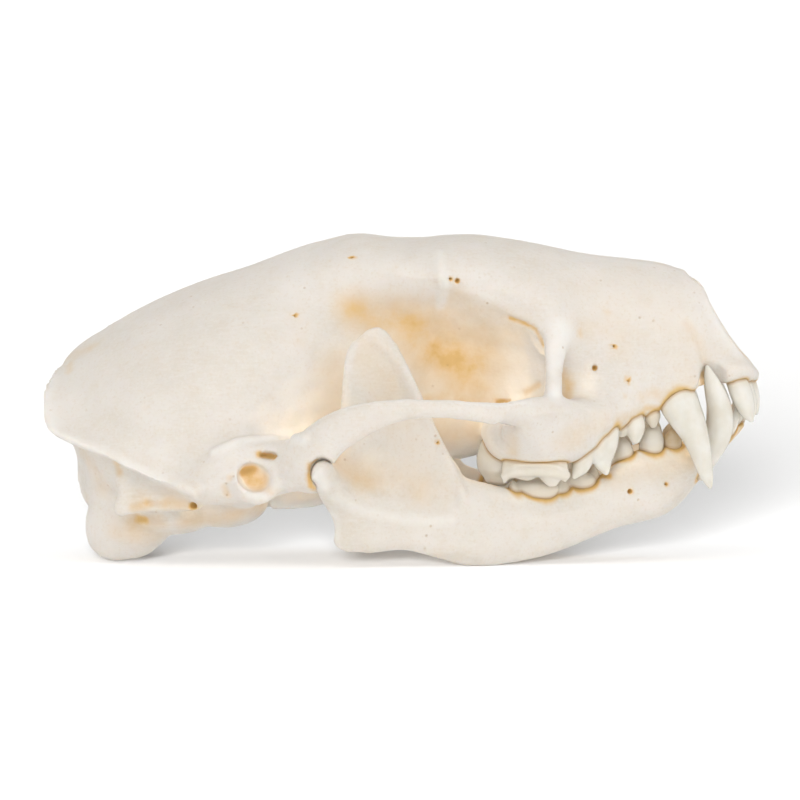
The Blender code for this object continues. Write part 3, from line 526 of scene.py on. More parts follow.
clay += [
    *both(limb, "cheek_arch", CHEEK_ARCH, count=90),
    *both(limb, "orbit_bar", ORBIT_BAR, up=(0.0, 1.0, 0.0)),
    *both(limb, "ear_shelf", EAR_SHELF),
    *both(limb, "jaw_joint", GLENOID_BLOCK),
    *both(limb, "ear_tube", EAR_TUBE),
    *both(egg, "ear_bulla", *EAR_BULLA),
    *both(limb, "ear_ring", EAR_RING, up=(0.0, 1.0, 0.0)),
    *both(egg, "brow_point", *BROW_POINT),
]
print("widest at the cheeks:", 2 * (CHEEK_ARCH[5][1] + CHEEK_ARCH[5][3]), "mm")

# %% [markdown]
# ## Crests and the back of the head
#
# Muscles of the neck and jaw pull on thin crests, one along the top and one across the
# back on each side. They are plates, thin at the free edge, so they are made as blades. Two
# rounded condyles carried the head on the spine.

# %% Shape the crests and condyles
SAGITTAL_CREST = (
    ((-34.4, 0, 19.5), (-30, 0, 17), 1.6),
    ((-32.8, 0, 21.3), (-29, 0, 18.5), 1.6),
    ((-30, 0, 23.1), (-28, 0, 20), 1.6),
    ((-25, 0, 25.9), (-24, 0, 22), 1.6),
    ((-20, 0, 28), (-20, 0, 24), 1.6),
    ((-14, 0, 29.9), (-14, 0, 26), 1.8),
    ((-9, 0, 31.8), (-9, 0, 28), 2),
    ((-5, 0, 32.8), (-5, 0, 29), 2.2),
)
NUCHAL_CREST = (
    ((-33.8, 0, 20.1), (-28, 0, 18.6), 2.2),
    ((-34.6, 2.4, 19.4), (-28, 1.6, 17.6), 2.2),
    ((-35.3, 4.8, 18.4), (-28, 3.2, 16.2), 2.2),
    ((-35.75, 7.2, 17), (-28, 5, 14.8), 2.2),
    ((-35.75, 9, 15.3), (-27.6, 6.8, 13.6), 2.2),
    ((-35.3, 10.4, 13.8), (-26.8, 8, 12.6), 2.2),
    ((-33.3, 12.3, 12.8), (-25.4, 8.8, 11.6), 2.2),
    ((-30.3, 14, 11.9), (-23.4, 9.8, 10.8), 2.2),
    ((-26.9, 15.4, 10.2), (-21.6, 10.7, 9.4), 2.2),
    ((-23.5, 16.6, 8.8), (-19.8, 11.2, 8.4), 2.4),
    ((-20.2, 17.3, 7.5), (-17.5, 12, 8), 2.4),
)
PAROCCIPITAL = (
    (-29.4, 10.2, 12, 1, 1),
    (-28.6, 11, 10.6, 1, 0.9),
    (-27.6, 12, 8.6, 0.9, 0.8),
    (-27.3, 12.6, 7.2, 0.8, 0.8),
    (-27.8, 12.9, 6.2, 0.7, 0.75),
    (-28.1, 13, 5.7, 0.4, 0.4),
)
PAROCCIPITAL_RIDGE = (
    (-28.1, 12.7, 5.6, 0.6, 0.7),
    (-26.4, 13, 6.3, 0.8, 0.95),
    (-24.2, 13.4, 6.6, 0.9, 1.05),
    (-22, 13.9, 6.6, 0.95, 1),
    (-20.2, 14.4, 6.6, 0.95, 0.9),
)
CONDYLE = (
    (-29.2, 7.4, 6.6, 1.6, 1.3),
    (-29.3, 6.8, 4.6, 2.1, 2),
    (-28.5, 5.6, 2.8, 2.6, 2.7),
    (-26.6, 4.6, 3, 2.4, 2.3),
    (-25, 4.2, 3.6, 1.8, 1.8),
)
CONDYLE_BODY = ((-27.0, 6.0, 3.5), (3.6, 3.0, 3.05))
EXOCCIPITAL = ((-26.6, 6.6, 4.4), (4.0, 3.6, 3.4))
OCCIPUT = (
    (-32.2, 12, 6.6, 3.8, 9.2, 3, 3),
    (-31.5, 13.6, 5.8, 6.4, 8.8, 3, 3),
    (-30.4, 15.4, 4.8, 8.8, 8.2, 3, 3),
    (-28, 17, 4.2, 10.6, 7.6, 3, 3),
    (-24.5, 17, 4.4, 11.6, 7.4, 2.6, 2.8),
)
MASTOID = ((-23.6, 11.0, 8.6), (5.0, 2.7, 2.9))
BASIN = ((-22.8, 7.8, 5.6), (4.8, 4.6, 2.6))
PTERYGOID_PLATE = (
    ((9, 3.9, 12), (9, 3.9, 15), 1.2),
    ((6, 3.7, 10.4), (6, 3.7, 14.5), 1.2),
    ((2, 3.7, 8.8), (2, 3.7, 14), 1.1),
    ((-3, 3.9, 6.9), (-3, 3.9, 12.5), 1.1),
    ((-7, 4.3, 5.7), (-7.5, 4.2, 10.5), 1.1),
    ((-10.2, 4.8, 5.2), (-10.6, 4.5, 8.5), 1.1),
    ((-13, 5.4, 5.2), (-13, 5, 8), 1.2),
)

clay += [
    blade("sagittal_crest", SAGITTAL_CREST),
    *both(blade, "nuchal_crest", NUCHAL_CREST, count=90),
    *both(limb, "paroccipital", PAROCCIPITAL, up=(1.0, 0.0, 0.0)),
    *both(limb, "paroccipital_ridge", PAROCCIPITAL_RIDGE),
    loft("occiput", OCCIPUT),
    *both(egg, "mastoid", *MASTOID),
    *both(egg, "condyle_body", *CONDYLE_BODY),
    *both(limb, "condyle", CONDYLE, up=(0.0, 1.0, 0.0)),
    *both(egg, "exoccipital", *EXOCCIPITAL),
    *both(egg, "basin", *BASIN),
    *both(blade, "pterygoid", PTERYGOID_PLATE, spread=0.1),
]
print(len(clay), "forms in the clay")

# %% [markdown]
# ## One bone
#
# In an adult the skull's bones have grown into one. The forms are joined and given one
# even skin by a voxel remesh, as clay is pressed together, and then smoothed a little so
# that they flow into each other. Openings are cut afterwards with exact booleans, so that
# their rims stay crisp.

# %% Press the clay together
BONE_VOXEL = 0.27


def joined(name, pieces):
    """Several forms as one object, still overlapping."""
    only(*pieces)
    bpy.ops.object.join()
    pieces[0].name = name
    return pieces[0]


def applied(thing, kind, **settings):
    """Adds a modifier with these settings, and applies it."""
    only(thing)
    modifier = thing.modifiers.new("step", kind)
    for key, value in settings.items():
        setattr(modifier, key, value)
    bpy.ops.object.modifier_apply(modifier="step")
    return thing


def fuse(thing, voxel, rounds):
    """One even skin round everything in the object, eased where forms meet."""
    applied(thing, "REMESH", mode="VOXEL", voxel_size=voxel)
    if rounds:
        applied(thing, "SMOOTH", factor=0.5, iterations=rounds)
    return thing


def carve(thing, cutters):
    """Takes the cutters' volume out of the object. They may not overlap each other."""
    cutter = joined("cutter", cutters)
    applied(thing, "BOOLEAN", operation="DIFFERENCE", solver="EXACT", object=cutter)
    bpy.data.objects.remove(cutter)


skull = fuse(joined("skull", clay), BONE_VOXEL, rounds=10)
print("skull", len(skull.data.polygons), "faces")

# %% [markdown]
# ## Openings
#
# The nose, the hole for the spinal cord, the ear openings, the tunnel under the eye, the
# airway behind the palate, the jaw sockets and the notch that the lower canine bites into
# are all hollows with a shape of their own, so each is modelled as a solid and cut out.

# %% Cut the openings
NASAL_CAVITY = (
    (17, 24.5, 20.8, 1.6, 22.5, 2, 2),
    (20, 26.2, 20, 3, 22.8, 2, 2.2),
    (24, 27.6, 19.8, 3.7, 23.2, 2.2, 2.4),
    (27.4, 28.2, 19.8, 4.2, 23.4, 2.4, 2.4),
    (30, 28.4, 19.8, 4.4, 22.4, 2.4, 2.4),
    (31, 28.4, 19.8, 4.3, 22.4, 2.4, 2.4),
    (32, 28.4, 19.7, 4.1, 22.2, 2.4, 2.4),
    (33, 28.2, 19.7, 3.8, 22, 2.4, 2.4),
    (34, 28, 19.6, 3.2, 21.6, 2.4, 2.4),
    (35, 27, 19.5, 2.4, 21, 2.4, 2.2),
    (37, 26, 19.6, 1, 21, 2.4, 2),
)
NOSE_RIM = (
    (28.2, 34), (28.35, 30.2), (28.5, 29), (28.9, 28.35), (29.6, 28), (30.3, 27.3),
    (30.7, 26.5), (31.1, 25.5), (32, 23.9), (33, 22.3), (34, 21), (35, 19.9),
    (35.6, 19.1), (36.6, 18.7), (40, 18.7), (40, 34),
)
CHOANA = (
    (-13.5, 5.6, 4.6, 0.8, 5, 2, 2),
    (-11, 6.8, 4.6, 1.8, 5.6, 2, 2),
    (-8, 8.6, 4.8, 2.5, 6.4, 2, 2),
    (-4, 11, 5.6, 2.8, 8, 2, 2.2),
    (1, 12.8, 7.4, 2.9, 10, 2, 2.2),
    (5, 14, 9.6, 2.8, 11.8, 2, 2.2),
    (8, 15.4, 12.6, 2.6, 14, 2, 2),
    (12, 16.6, 13.8, 2.2, 15.2, 2, 2),
    (16, 17.6, 15.4, 1.4, 16.5, 2, 2),
)
FORAMEN_MAGNUM = (
    (-36, 0, 6.4, 4.3, 3),
    (-31, 0, 6.6, 4.3, 2.9),
    (-28, 0, 6.9, 4.2, 2.8),
    (-25, 0, 7.4, 3.8, 2.6),
    (-21.5, 0, 8.4, 2.8, 2.2),
)
CHEEK_CANAL = (
    (10, 9.6, 18.6, 1.4, 1.7),
    (13.5, 10.1, 18.4, 1.2, 1.6),
    (16.4, 10.9, 18.4, 1.2, 1.6),
    (18.4, 11.9, 18.4, 1.5, 1.7),
)
EAR_HOLE = (
    (-15.5, 15.9, 9.6, 0.7, 0.6),
    (-15.2, 16.3, 9.5, 1.25, 1.1),
    (-14.7, 17.1, 9.3, 1.65, 1.4),
    (-14.1, 19, 9.15, 1.95, 1.6),
)
EAR_SLIT = (
    (-13.6, 16.2, 11.4, 0.6, 0.3),
    (-13.2, 16.8, 11.35, 0.9, 0.42),
    (-12.9, 19, 11.3, 1.1, 0.5),
)
JAW_SOCKET = (
    (-7.6, 11.4, 9.6, 1.1, 1.35),
    (-7.6, 17.4, 9.6, 1.15, 1.4),
    (-7.6, 19.4, 9.6, 1.15, 1.45),
    (-7.7, 20.1, 9.6, 1.5, 1.75),
    (-7.8, 23, 9.6, 1.6, 1.95),
)
LOWER_CANINE_NOTCH = ((31.3, 6.7, 17.2), (1.75, 2.0, 3.5))
NOSE_HALF_CUT = 9.0

carve(skull, [
    loft("nasal_cavity", NASAL_CAVITY),
    loft("choana", CHOANA),
    limb("foramen_magnum", FORAMEN_MAGNUM),
    *both(limb, "cheek_canal", CHEEK_CANAL),
    *both(limb, "ear_hole", EAR_HOLE, up=(0.35, 0.0, 0.94)),
    *both(limb, "jaw_socket", JAW_SOCKET),
    *both(egg, "canine_notch", *LOWER_CANINE_NOTCH),
])
carve(skull, [
    slab("nose_rim", NOSE_RIM, -NOSE_HALF_CUT, NOSE_HALF_CUT),
    *both(limb, "ear_slit", EAR_SLIT),
])
print("skull", len(skull.data.polygons), "faces once cut")

# %% [markdown]
# ## Inside the nose
#
# A wall of bone stands in the middle of the nose, with thin curled leaves on both sides of
# it. Here each leaf is one plain blade, lower at its front end. They are set in once the rim
# is cut, and one more skin joins them to the bone.

# %% Set the wall and the leaves
NOSE_WALL = (
    ((32, 0, 19.4), (32.6, 0, 20.6), 0.7),
    ((27, 0, 19.4), (27.5, 0, 23.6), 0.6),
    ((18, 0, 19.4), (18, 0, 27), 0.6),
)
# Each leaf's y, bottom, top and front end.
NOSE_LEAVES = ((1.25, 20.9, 26.8, 28.4), (2.35, 20.9, 26.2, 27.6), (3.4, 21.4, 25.0, 26.6))
LEAF_BACK, LEAF_THICKNESS = 17.0, 0.5


def leaf(name, y, bottom, top, front, side=1):
    """A thin upright plate that narrows and leans over towards its front end."""
    rows = [((x, y + 0.3 * lean, bottom + 0.8 * lean), (x, y - 0.2 * lean, top - 1.2 * lean),
             LEAF_THICKNESS)
            for x, lean in ((LEAF_BACK, 0.0), (front - 3.0, 0.2), (front, 1.0))]
    return blade(name, rows, side=side, count=30, spread=0.0)


leaves = [piece for row in NOSE_LEAVES for piece in both(leaf, "nose_leaf", *row)]
skull = joined("skull", [skull, blade("nose_wall", NOSE_WALL, spread=0.0), *leaves])
fuse(skull, BONE_VOXEL, rounds=3)
print("skull", len(skull.data.polygons), "faces")

# %% [markdown]
# ## Worked by hand
#
# The joins between forms still look like clay pressed together, and the face of the bone
# is still too plain. A sculptor would now rub the joins smooth, press shallow hollows with
# a thumb and raise ridges. Each such mark is a path with a radius. A point of two numbers
# is an x and a height as seen square from the side, and it is found by looking along the
# camera's line until it meets the bone. A point of three numbers is a place near the bone.
# Every mark is made on both sides, because the skull's halves match.

# %% Find marks on the bone
rise = math.tan(tilt)
OUTSIDE = 60.0  # a distance from the midline that is well clear of the bone
TRACE_STEP = 0.4  # how far apart a path's points may lie, as a share of its radius


def on_surface(tree, point):
    """The place on the bone that a point names, and which way the bone faces there."""
    if len(point) == 2:
        start = Vector((point[0], -OUTSIDE, point[1] + OUTSIDE * rise))
        place, normal, _, _ = tree.ray_cast(start, Vector((0.0, 1.0, -rise)).normalized())
    else:
        place, normal, _, _ = tree.find_nearest(Vector(point))
    return place, normal


def traced(tree, path, step):
    """A path's points on the bone, no further apart than a step."""
    places = []
    for first, last in zip(path, path[1:] or path):
        first, last = np.array(first, float), np.array(last, float)
        count = max(1, math.ceil(np.linalg.norm(last - first) / step))
        for k in range(count):
            places.append(first + (last - first) * k / count)
    places.append(np.array(path[-1], float))
    found = [on_surface(tree, tuple(place)) for place in places]
    found = [(place, normal) for place, normal in found if place is not None]
    return np.array([p for p, _ in found]), np.array([n for _, n in found])


def surface_of(thing):
    return BVHTree.FromObject(thing, bpy.context.evaluated_depsgraph_get())


def closeness(places, line, radius):
    """1 on a line of points, falling smoothly to 0 at the radius."""
    inside = (places > line.min(0) - radius) & (places < line.max(0) + radius)
    near = np.flatnonzero(inside.all(1))
    best = np.full(len(near), np.inf)
    for point in line:
        best = np.minimum(best, ((places[near] - point) ** 2).sum(1))
    share = np.zeros(len(places))
    share[near] = np.clip(1.0 - best / radius**2, 0.0, 1.0) ** 2
    return share


def outward(mesh):
    normals = np.empty(len(mesh.vertices) * 3)
    mesh.vertices.foreach_get("normal", normals)
    return normals.reshape(-1, 3)


def mark_shares(thing, path, radius, sides=(1, -1), tree=None):
    """How much of a mark each vertex gets, on one side or both."""
    places, normals = positions(thing.data), outward(thing.data)
    line, facing = traced(tree or surface_of(thing), path, radius * TRACE_STEP)
    share = np.zeros(len(places))
    if len(line):
        for side in sides:
            turn = np.array((1.0, side, 1.0))
            front = normals @ (facing.mean(0) * turn)
            share = np.maximum(share, closeness(places, line * turn, radius) * (front > 0.0))
    return share


print("a path's points lie at most", TRACE_STEP, "of its radius apart")

# %% Press, raise and rub
def worked(thing, marks, sides=(1, -1)):
    """Presses marks into a bone. A row is a path, a radius and a depth; below 0 it raises."""
    tree, places, normals = surface_of(thing), positions(thing.data), outward(thing.data)
    depth = np.zeros(len(places))
    for path, radius, press in marks:
        depth += press * mark_shares(thing, path, radius, sides, tree)
    place_all(thing.data, places - normals * depth[:, None])
    return np.abs(depth).max()


STROKE = 0.6  # how far one stroke moves a vertex towards the mean of its neighbours


def rubbed(thing, marks, sides=(1, -1)):
    """Rubs a bone smooth along paths. A row is a path, a radius and a number of strokes."""
    mesh, tree = thing.data, surface_of(thing)
    edges = np.empty(len(mesh.edges) * 2, int)
    mesh.edges.foreach_get("vertices", edges)
    edges = edges.reshape(-1, 2)
    places = positions(mesh)
    for path, radius, strokes in marks:
        share = mark_shares(thing, path, radius, sides, tree)
        used = edges[(share[edges] > 0).any(1)]
        a, b = np.concatenate([used, used[:, ::-1]]).T
        count = np.maximum(np.bincount(a, minlength=len(places)), 1)[:, None]
        pull = STROKE * np.sqrt(share)[:, None]
        for _ in range(strokes):
            total = [np.bincount(a, places[b, axis], len(places)) for axis in range(3)]
            mean = np.column_stack(total) / count
            places += pull * np.where(share[:, None] > 0, mean - places, 0.0)
    place_all(mesh, places)


print("a mark may be pressed, raised or rubbed")

# %% Rub the joins
JOINS = (
    # Where the crests rise from the braincase.
    (((-33.4, 2, 19.6), (-33.2, 5, 18.6), (-32.4, 8, 16.4), (-30.6, 10.8, 13.8),
      (-27.4, 12.8, 11.8), (-24, 14.2, 10.2)), 2.6, 160),
    (((-32, 2, 21), (-28, 2.6, 23), (-20, 3, 27), (-12, 3.4, 30.2)), 2.6, 120),
    # From the forehead down into the orbit and the temple.
    (((-10, 10, 25), (-5, 8, 25.5), (0, 8.5, 25), (6, 8.5, 23.5), (11, 9, 22.5)), 4.2, 320),
    (((-4, 6.5, 20), (2, 6, 20), (8, 6.5, 19)), 4, 160),
    (((18.6, 8.6, 28.6), (18.6, 9.4, 26), (18.4, 9.6, 22)), 2.6, 240),
    (((4.7, 26.7), (8, 25.4), (10.8, 23.6), (13.2, 21.4)), 1.5, 120),
    (((26, 8.3, 20), (28, 8, 21)), 3, 200),
    (((23, 8.6, 18.5), (20, 9.4, 17.5)), 2.4, 160),
    # Round the roots of the cheek arch and the orbit's bar.
    (((10.5, 15.8, 13.6), (13, 15, 13.2), (16, 13.4, 13)), 2.6, 260),
    (((-14, 14.5, 11.5), (-11, 15.5, 12.5), (-9, 17.5, 13)), 2, 60),
    (((12, 12.5, 14), (15, 12, 13.6), (19, 10.5, 14.4), (23, 9, 16.4), (27, 8, 18.6)), 2.6, 160),
    (((12.5, 14.5, 14.4), (15, 13.6, 13.6), (18, 12, 13.8)), 2, 120),
    (((17, 10, 20), (20, 9, 18.5)), 3, 120),
    (((15.9, 11.6, 21.8), (15.9, 10.8, 24.4)), 2.6, 200),
    # The edges of the airway's trough underneath.
    (((-9, 2.4, 6), (-5, 2.8, 6.6), (0, 3, 8), (5, 2.9, 10.4)), 1.4, 60),
    (((8.2, 0, 12.4), (8, 2.4, 12.4)), 1.4, 60),
)

rubbed(skull, JOINS)
print(len(JOINS), "joins rubbed smooth")

# %% Press and raise the surface
RELIEF = (
    # The forehead's ridge, the orbit's rim and the fissure inside it.
    (((3.9, 30.8), (4.1, 29), (4.4, 27.4), (3.9, 24.8)), 0.8, -0.14),
    (((4.7, 27.4), (7.2, 26.6), (10, 25.4), (12.2, 24.1), (13.8, 22.6), (14.6, 21)), 1,
     -0.14),
    (((10.8, 24.3), (12.2, 23.8), (13.4, 23.2), (14.1, 22.4), (14.3, 21.5)), 0.4, 0.22),
    (((11.8, 16.6), (13, 17), (13.8, 17.6)), 0.5, 0.22),
    (((9.6, 15.8), (10.4, 15.9), (11, 15.8)), 0.4, 0.35),
    # The temple, deepest behind the forehead.
    (((-4.8, 24.8), (-2.5, 24.5), (0, 24.2)), 2.8, 0.35),
    # The face: hollow in front of the orbit, swollen over the canine's root.
    (((18.4, 17.6), (21.2, 17.2), (24, 16.8)), 2.6, 0.35),
    (((28.8, 23.4), (27.7, 20.5), (26.9, 17.2)), 2.8, -0.34),
    (((28.6, 23.8), (29.8, 21.6), (30.4, 19.6), (29.9, 17.4)), 0.45, 0.14),
    (((20.6, 13.6), (20.4, 16.2)), 1.4, -0.2),
    (((18.2, 12), (18, 14.2)), 1.2, -0.16),
    (((16.6, 16), (18.4, 15.5), (20, 14.8), (20.1, 13.4)), 0.7, -0.14),
    (((23.6, 14.8), (23.6, 16.4)), 0.9, -0.16),
    # The ridge over the ear and the hollow above it, then the pits behind the ear.
    (((-18.4, 10.9), (-16, 12), (-12.5, 12.3), (-9.4, 12.3)), 0.9, -0.34),
    (((-13.8, 13.6), (-11.6, 13.1), (-10, 13.7)), 1.6, 0.25),
    (((-16.9, 8.3),), 0.4, 0.22),
    (((-17.4, 7.4), (-17.1, 6.6)), 0.4, 0.22),
    (((-11.2, 9),), 0.5, 0.16),
    (((-12.1, 8.4), (-10.8, 7.8)), 0.6, 0.14),
    # Below the crest at the back.
    (((-30.2, 9), (-29.8, 7.8), (-28.8, 7)), 0.6, 0.22),
    (((-31.6, 10.8), (-31.4, 6.8)), 1, 0.15),
    (((-26, 9.2), (-23.2, 7.4)), 1.6, 0.3),
    (((-26.4, 4.3), (-25, 4), (-23.8, 4.3)), 1, 0.35),
    (((-26.6, 5.3), (-24.6, 5.7)), 0.8, 0.28),
    (((-24.8, 5.6), (-22.6, 5.8), (-20.8, 5.5)), 0.7, 0.3),
    # Faint seams of the nose and the forehead.
    (((29, 0, 29.6), (20, 0, 31), (9, 0, 33)), 0.45, 0.05),
    (((27, 2.6, 29.4), (20, 2.2, 30.6), (12, 1.6, 32.2), (8, 0.2, 33)), 0.4, 0.03),
)

print("deepest mark", round(worked(skull, RELIEF), 2), "mm")

# %% [markdown]
# ## Foramina
#
# Nerves and vessels pass through the bone in small holes. Each is a short drill that runs
# in along the surface's own direction, wide at the rim and narrow at its end, and all of a
# bone's holes are cut at once.

# %% Drill the foramina
FORAMINA = (
    # x, height seen from the side, radius, depth.
    (19.4, 19.2, 0.32, 0.45),
    (21.3, 21.4, 0.16, 0.22),
    (22.7, 17.9, 0.09, 0.15),
    (5, 28.1, 0.15, 0.2),
    (5.7, 27.9, 0.3, 0.32),
    (-20.5, 5.5, 0.4, 0.4),
    (-4.8, 30.2, 0.1, 0.15),
    (-10.5, 24.4, 0.1, 0.15),
)


def drilled(thing, holes, sides=(1, -1)):
    """Drills holes into a bone; a row is x, height from the side, radius and depth."""
    tree, drills = surface_of(thing), []
    for x, height, radius, depth in holes:
        place, normal = on_surface(tree, (x, height))
        profile = ((0.5, 1.3), (0.0, 1.05), (-0.4 * depth, 0.85), (-depth, 0.45))
        for side in sides:
            out, start = np.array(normal) * (1, side, 1), np.array(place) * (1, side, 1)
            path = [(*(start + out * reach), radius * wide, radius * wide)
                    for reach, wide in profile]
            drills.append(limb("drill", path, count=8, sides=12))
    carve(thing, drills)


drilled(skull, FORAMINA)
print(2 * len(FORAMINA), "holes")

# %% [markdown]
# ## Lower jaw
#
# The lower jaw is two bones that meet at the chin. Each has a tall thin plate for the jaw
# muscles and a thick body for the teeth. One half is made and mirrored. The plate and the
# body are laid out flat and then bent to the jaw's midline, because a flat plate is easier
# to measure.

# %% Measure the lower jaw
RAMUS = (
    (-6.6, 9.4, 5.2, 0.75, 7, 2.4, 2.4),
    (-6.4, 12, 2.9, 0.8, 7, 3, 3),
    (-6, 15, 2, 0.85, 7, 3, 3),
    (-5.7, 19, 1.8, 0.9, 7, 3, 3),
    (-5.4, 21.4, 1.7, 0.95, 7, 3, 3),
    (-4.8, 22.5, 1.6, 0.95, 7, 3, 3),
    (-3.8, 23.3, 1.6, 1, 7, 3, 3),
    (-3.1, 23.9, 1.5, 1, 7, 3, 3),
    (-2.2, 24.1, 1.6, 1, 7, 3, 3),
    (-1.2, 23.5, 1.7, 1, 7, 3, 3),
    (-0.6, 22.6, 1.8, 1.05, 7, 3, 3),
    (0.1, 21.3, 1.8, 1.05, 6.8, 3, 3),
    (1, 19.3, 1.7, 1.1, 6.5, 3, 3),
    (2.1, 16.8, 1.4, 1.1, 6, 3, 3),
    (3.1, 14.6, 1.1, 1.15, 6, 3, 3),
    (4.2, 12.4, 0.8, 1.2, 5.5, 3, 3),
    (5.4, 10.2, 0.4, 1.25, 5, 3, 3),
    (7, 8.6, 0.1, 1.3, 5, 3, 3),
    (9, 8, 0.1, 1.3, 4.6, 3, 3),
)
JAW_BODY = (
    (2.6, 8.8, 3.4, 1, 6, 2.2, 2.2),
    (5, 9.2, 1.2, 1.5, 5.6, 2.4, 2.2),
    (8, 8.5, 0, 1.75, 5, 2.6, 2.2),
    (11, 7.8, 0.3, 1.85, 4.8, 2.8, 2.2),
    (14, 7.5, 0.85, 1.9, 4.8, 2.8, 2.2),
    (17, 8, 1.8, 1.9, 5.4, 2.8, 2.2),
    (19, 8.4, 2.6, 1.95, 5.8, 3, 2.2),
    (20.4, 9.2, 3.15, 1.95, 6.4, 3, 2.2),
    (22, 10.6, 3.7, 2, 7.4, 3, 2.2),
    (24, 11.4, 4.1, 2.1, 7.9, 3, 2.2),
    (26, 11.7, 4.6, 2.4, 8.4, 3, 2.2),
    (28, 12, 5.9, 2.6, 9.2, 2.8, 2.2),
    (30, 12.5, 8.3, 2.55, 10.6, 2.6, 2.2),
    (32, 13, 10.7, 2.4, 12, 2.2, 2.2),
    (33.6, 13.8, 12.5, 1.7, 13.2, 2, 2),
    (34.5, 14, 13.5, 0.8, 13.8, 2, 2),
)
JAW_MIDLINE = (
    (-9, 15.6), (-6, 15.2), (-2, 14.2), (2, 13.1), (6, 12), (10, 10.6),
    (14, 9.2), (18, 7.9), (22, 6.4), (25, 5), (28, 3.5), (30, 2.7),
    (32, 2.1), (34, 1.4), (36, 0.8),
)
JAW_CONDYLE = (
    (-7.6, 12.4, 9.55, 1.2, 1.4),
    (-7.6, 14.2, 9.6, 1.3, 1.55),
    (-7.6, 17.3, 9.6, 1.3, 1.55),
    (-7.6, 19.2, 9.6, 1.25, 1.55),
    (-7.6, 20.2, 9.6, 1.15, 1.48),
    (-7.55, 20.7, 9.6, 1, 1.35),
    (-7.5, 21, 9.6, 0.8, 1.15),
)
CONDYLE_RIDGE = (
    (-7.3, 19, 8.8, 1.1, 1.2),
    (-6.9, 18, 7.9, 1.05, 1.3),
    (-6.3, 16.8, 6.9, 1, 1.4),
    (-5.6, 15.9, 5.8, 0.95, 1.4),
    (-5.3, 15.4, 4.6, 0.8, 1.2),
)
NECK_WEB = (
    (-6.2, 16.6, 9, 0.8, 1.2),
    (-5, 15.9, 8.2, 0.9, 1.8),
    (-3.6, 15.2, 7.2, 0.9, 2.2),
    (-2, 14.6, 6.4, 0.8, 2.4),
)
JAW_NECK = (
    (-7.4, 15.8, 9.2, 1.4, 1.2),
    (-5.4, 15.1, 8.2, 1, 2.2),
    (-2.6, 14.4, 7.4, 0.8, 2.6),
)
CORONOID_EDGE = (
    (-2.4, 14.5, 22.6, 0.7, 0.7),
    (-0.8, 14.1, 21.2, 0.85, 0.8),
    (0.8, 13.8, 18.2, 0.95, 0.8),
    (2.2, 13.3, 15.2, 1.05, 0.8),
    (3.6, 12.9, 12, 1.1, 0.8),
    (5.2, 12.3, 9.2, 1.2, 1),
)
JAW_ANGLE = (
    (-5.9, 15.3, 3, 0.95, 1),
    (-3, 14.7, 2.6, 1.15, 1),
    (0, 13.9, 2.8, 1.25, 1),
    (4, 12.7, 2.4, 1.5, 1.4),
    (8, 11.4, 2, 1.6, 1.8),
)
print("the jaw's wing reaches a height of", max(row[1] for row in RAMUS), "mm")

# %% Shape the lower jaw
FRONT_BOX = ((20.0, -2.0), (20.0, 22.0), (40.0, 22.0), (40.0, -2.0))
JAW_VOXEL = 0.22
JAW_GAP = 0.3
BEYOND_JAW = -12.0


def bend_to(thing, midline):
    """Moves a form that was laid out on y = 0 sideways, so that it follows a midline."""
    rows = np.array(midline, float)
    places = positions(thing.data)
    places[:, 1] += fitted(rows[:, 0], rows, places[:, 0])[:, 1]
    place_all(thing.data, places)
    return thing


jaw_left = joined("jaw_left", [
    bend_to(loft("ramus", RAMUS), JAW_MIDLINE),
    bend_to(loft("jaw_body", JAW_BODY), JAW_MIDLINE),
    limb("jaw_condyle", JAW_CONDYLE),
    limb("jaw_neck", JAW_NECK),
    limb("condyle_ridge", CONDYLE_RIDGE, up=(1.0, 0.0, 0.0)),
    limb("neck_web", NECK_WEB),
    limb("coronoid_edge", CORONOID_EDGE, up=(1.0, 0.0, 0.0)),
    limb("jaw_angle", JAW_ANGLE),
])
fuse(jaw_left, JAW_VOXEL, rounds=10)
carve(jaw_left, [slab("beyond_midline", FRONT_BOX, BEYOND_JAW, JAW_GAP / 2)])
print("jaw half", len(jaw_left.data.polygons), "faces")

# %% Work the jaw's surface
# The marks were measured on the side that faces the camera, so that half is worked.
JAW_JOINS = (
    (((-5.5, 9.4), (-4.8, 8), (-4.8, 6)), 3, 300),
    (((-7.2, 7.6), (-6.4, 6.4), (-5.6, 4.8)), 2.6, 260),
    (((-4.4, 7.6), (-2.4, 6.4), (0, 5.6)), 2.6, 200),
    (((-6.2, 3.6), (-3, 3.6), (1, 3.6), (5, 3.4)), 1.9, 240),
    (((-5.6, 2.2), (-3, 1.9), (1, 1.8), (4, 1.8)), 1.5, 160),
    (((3, 12), (4.8, 9), (5.8, 5.5)), 2.4, 80),
    (((7, 6), (16, 5.5), (24, 8)), 3, 60),
)
JAW_RELIEF = (
    # The hollow for the chewing muscle, with a ridge in front of it and below it.
    (((-4.8, 9.2), (-2.8, 8.6), (0, 7.8)), 2.6, 0.45),
    (((-2, 9), (1.5, 8.2), (3.6, 6.4)), 3, 0.35),
    (((3, 13.6), (4.1, 11.4), (5.2, 9.2), (6.2, 6.6)), 0.9, -0.3),
    (((6.3, 6.6), (6.1, 4.8), (5.2, 4.1)), 0.8, -0.16),
    (((-6, 6.2), (-3.8, 4.9), (0, 4.1), (5, 3.9)), 1.5, -0.22),
    # The blade above it, thin in the middle.
    (((-2.6, 21), (-2, 18.5), (-1.2, 16)), 2.2, 0.16),
    (((-0.4, 21.4), (0.8, 18.8), (2, 16.2)), 0.8, -0.14),
    # The body: hollow below the molars, swollen at the chin.
    (((10, 6), (14.5, 5.8), (17.5, 6.3)), 1.6, 0.2),
    (((25.5, 9), (27.6, 9.8)), 1.4, 0.12),
    (((29, 9.8), (27.2, 7), (25, 5.5)), 2.2, -0.22),
)
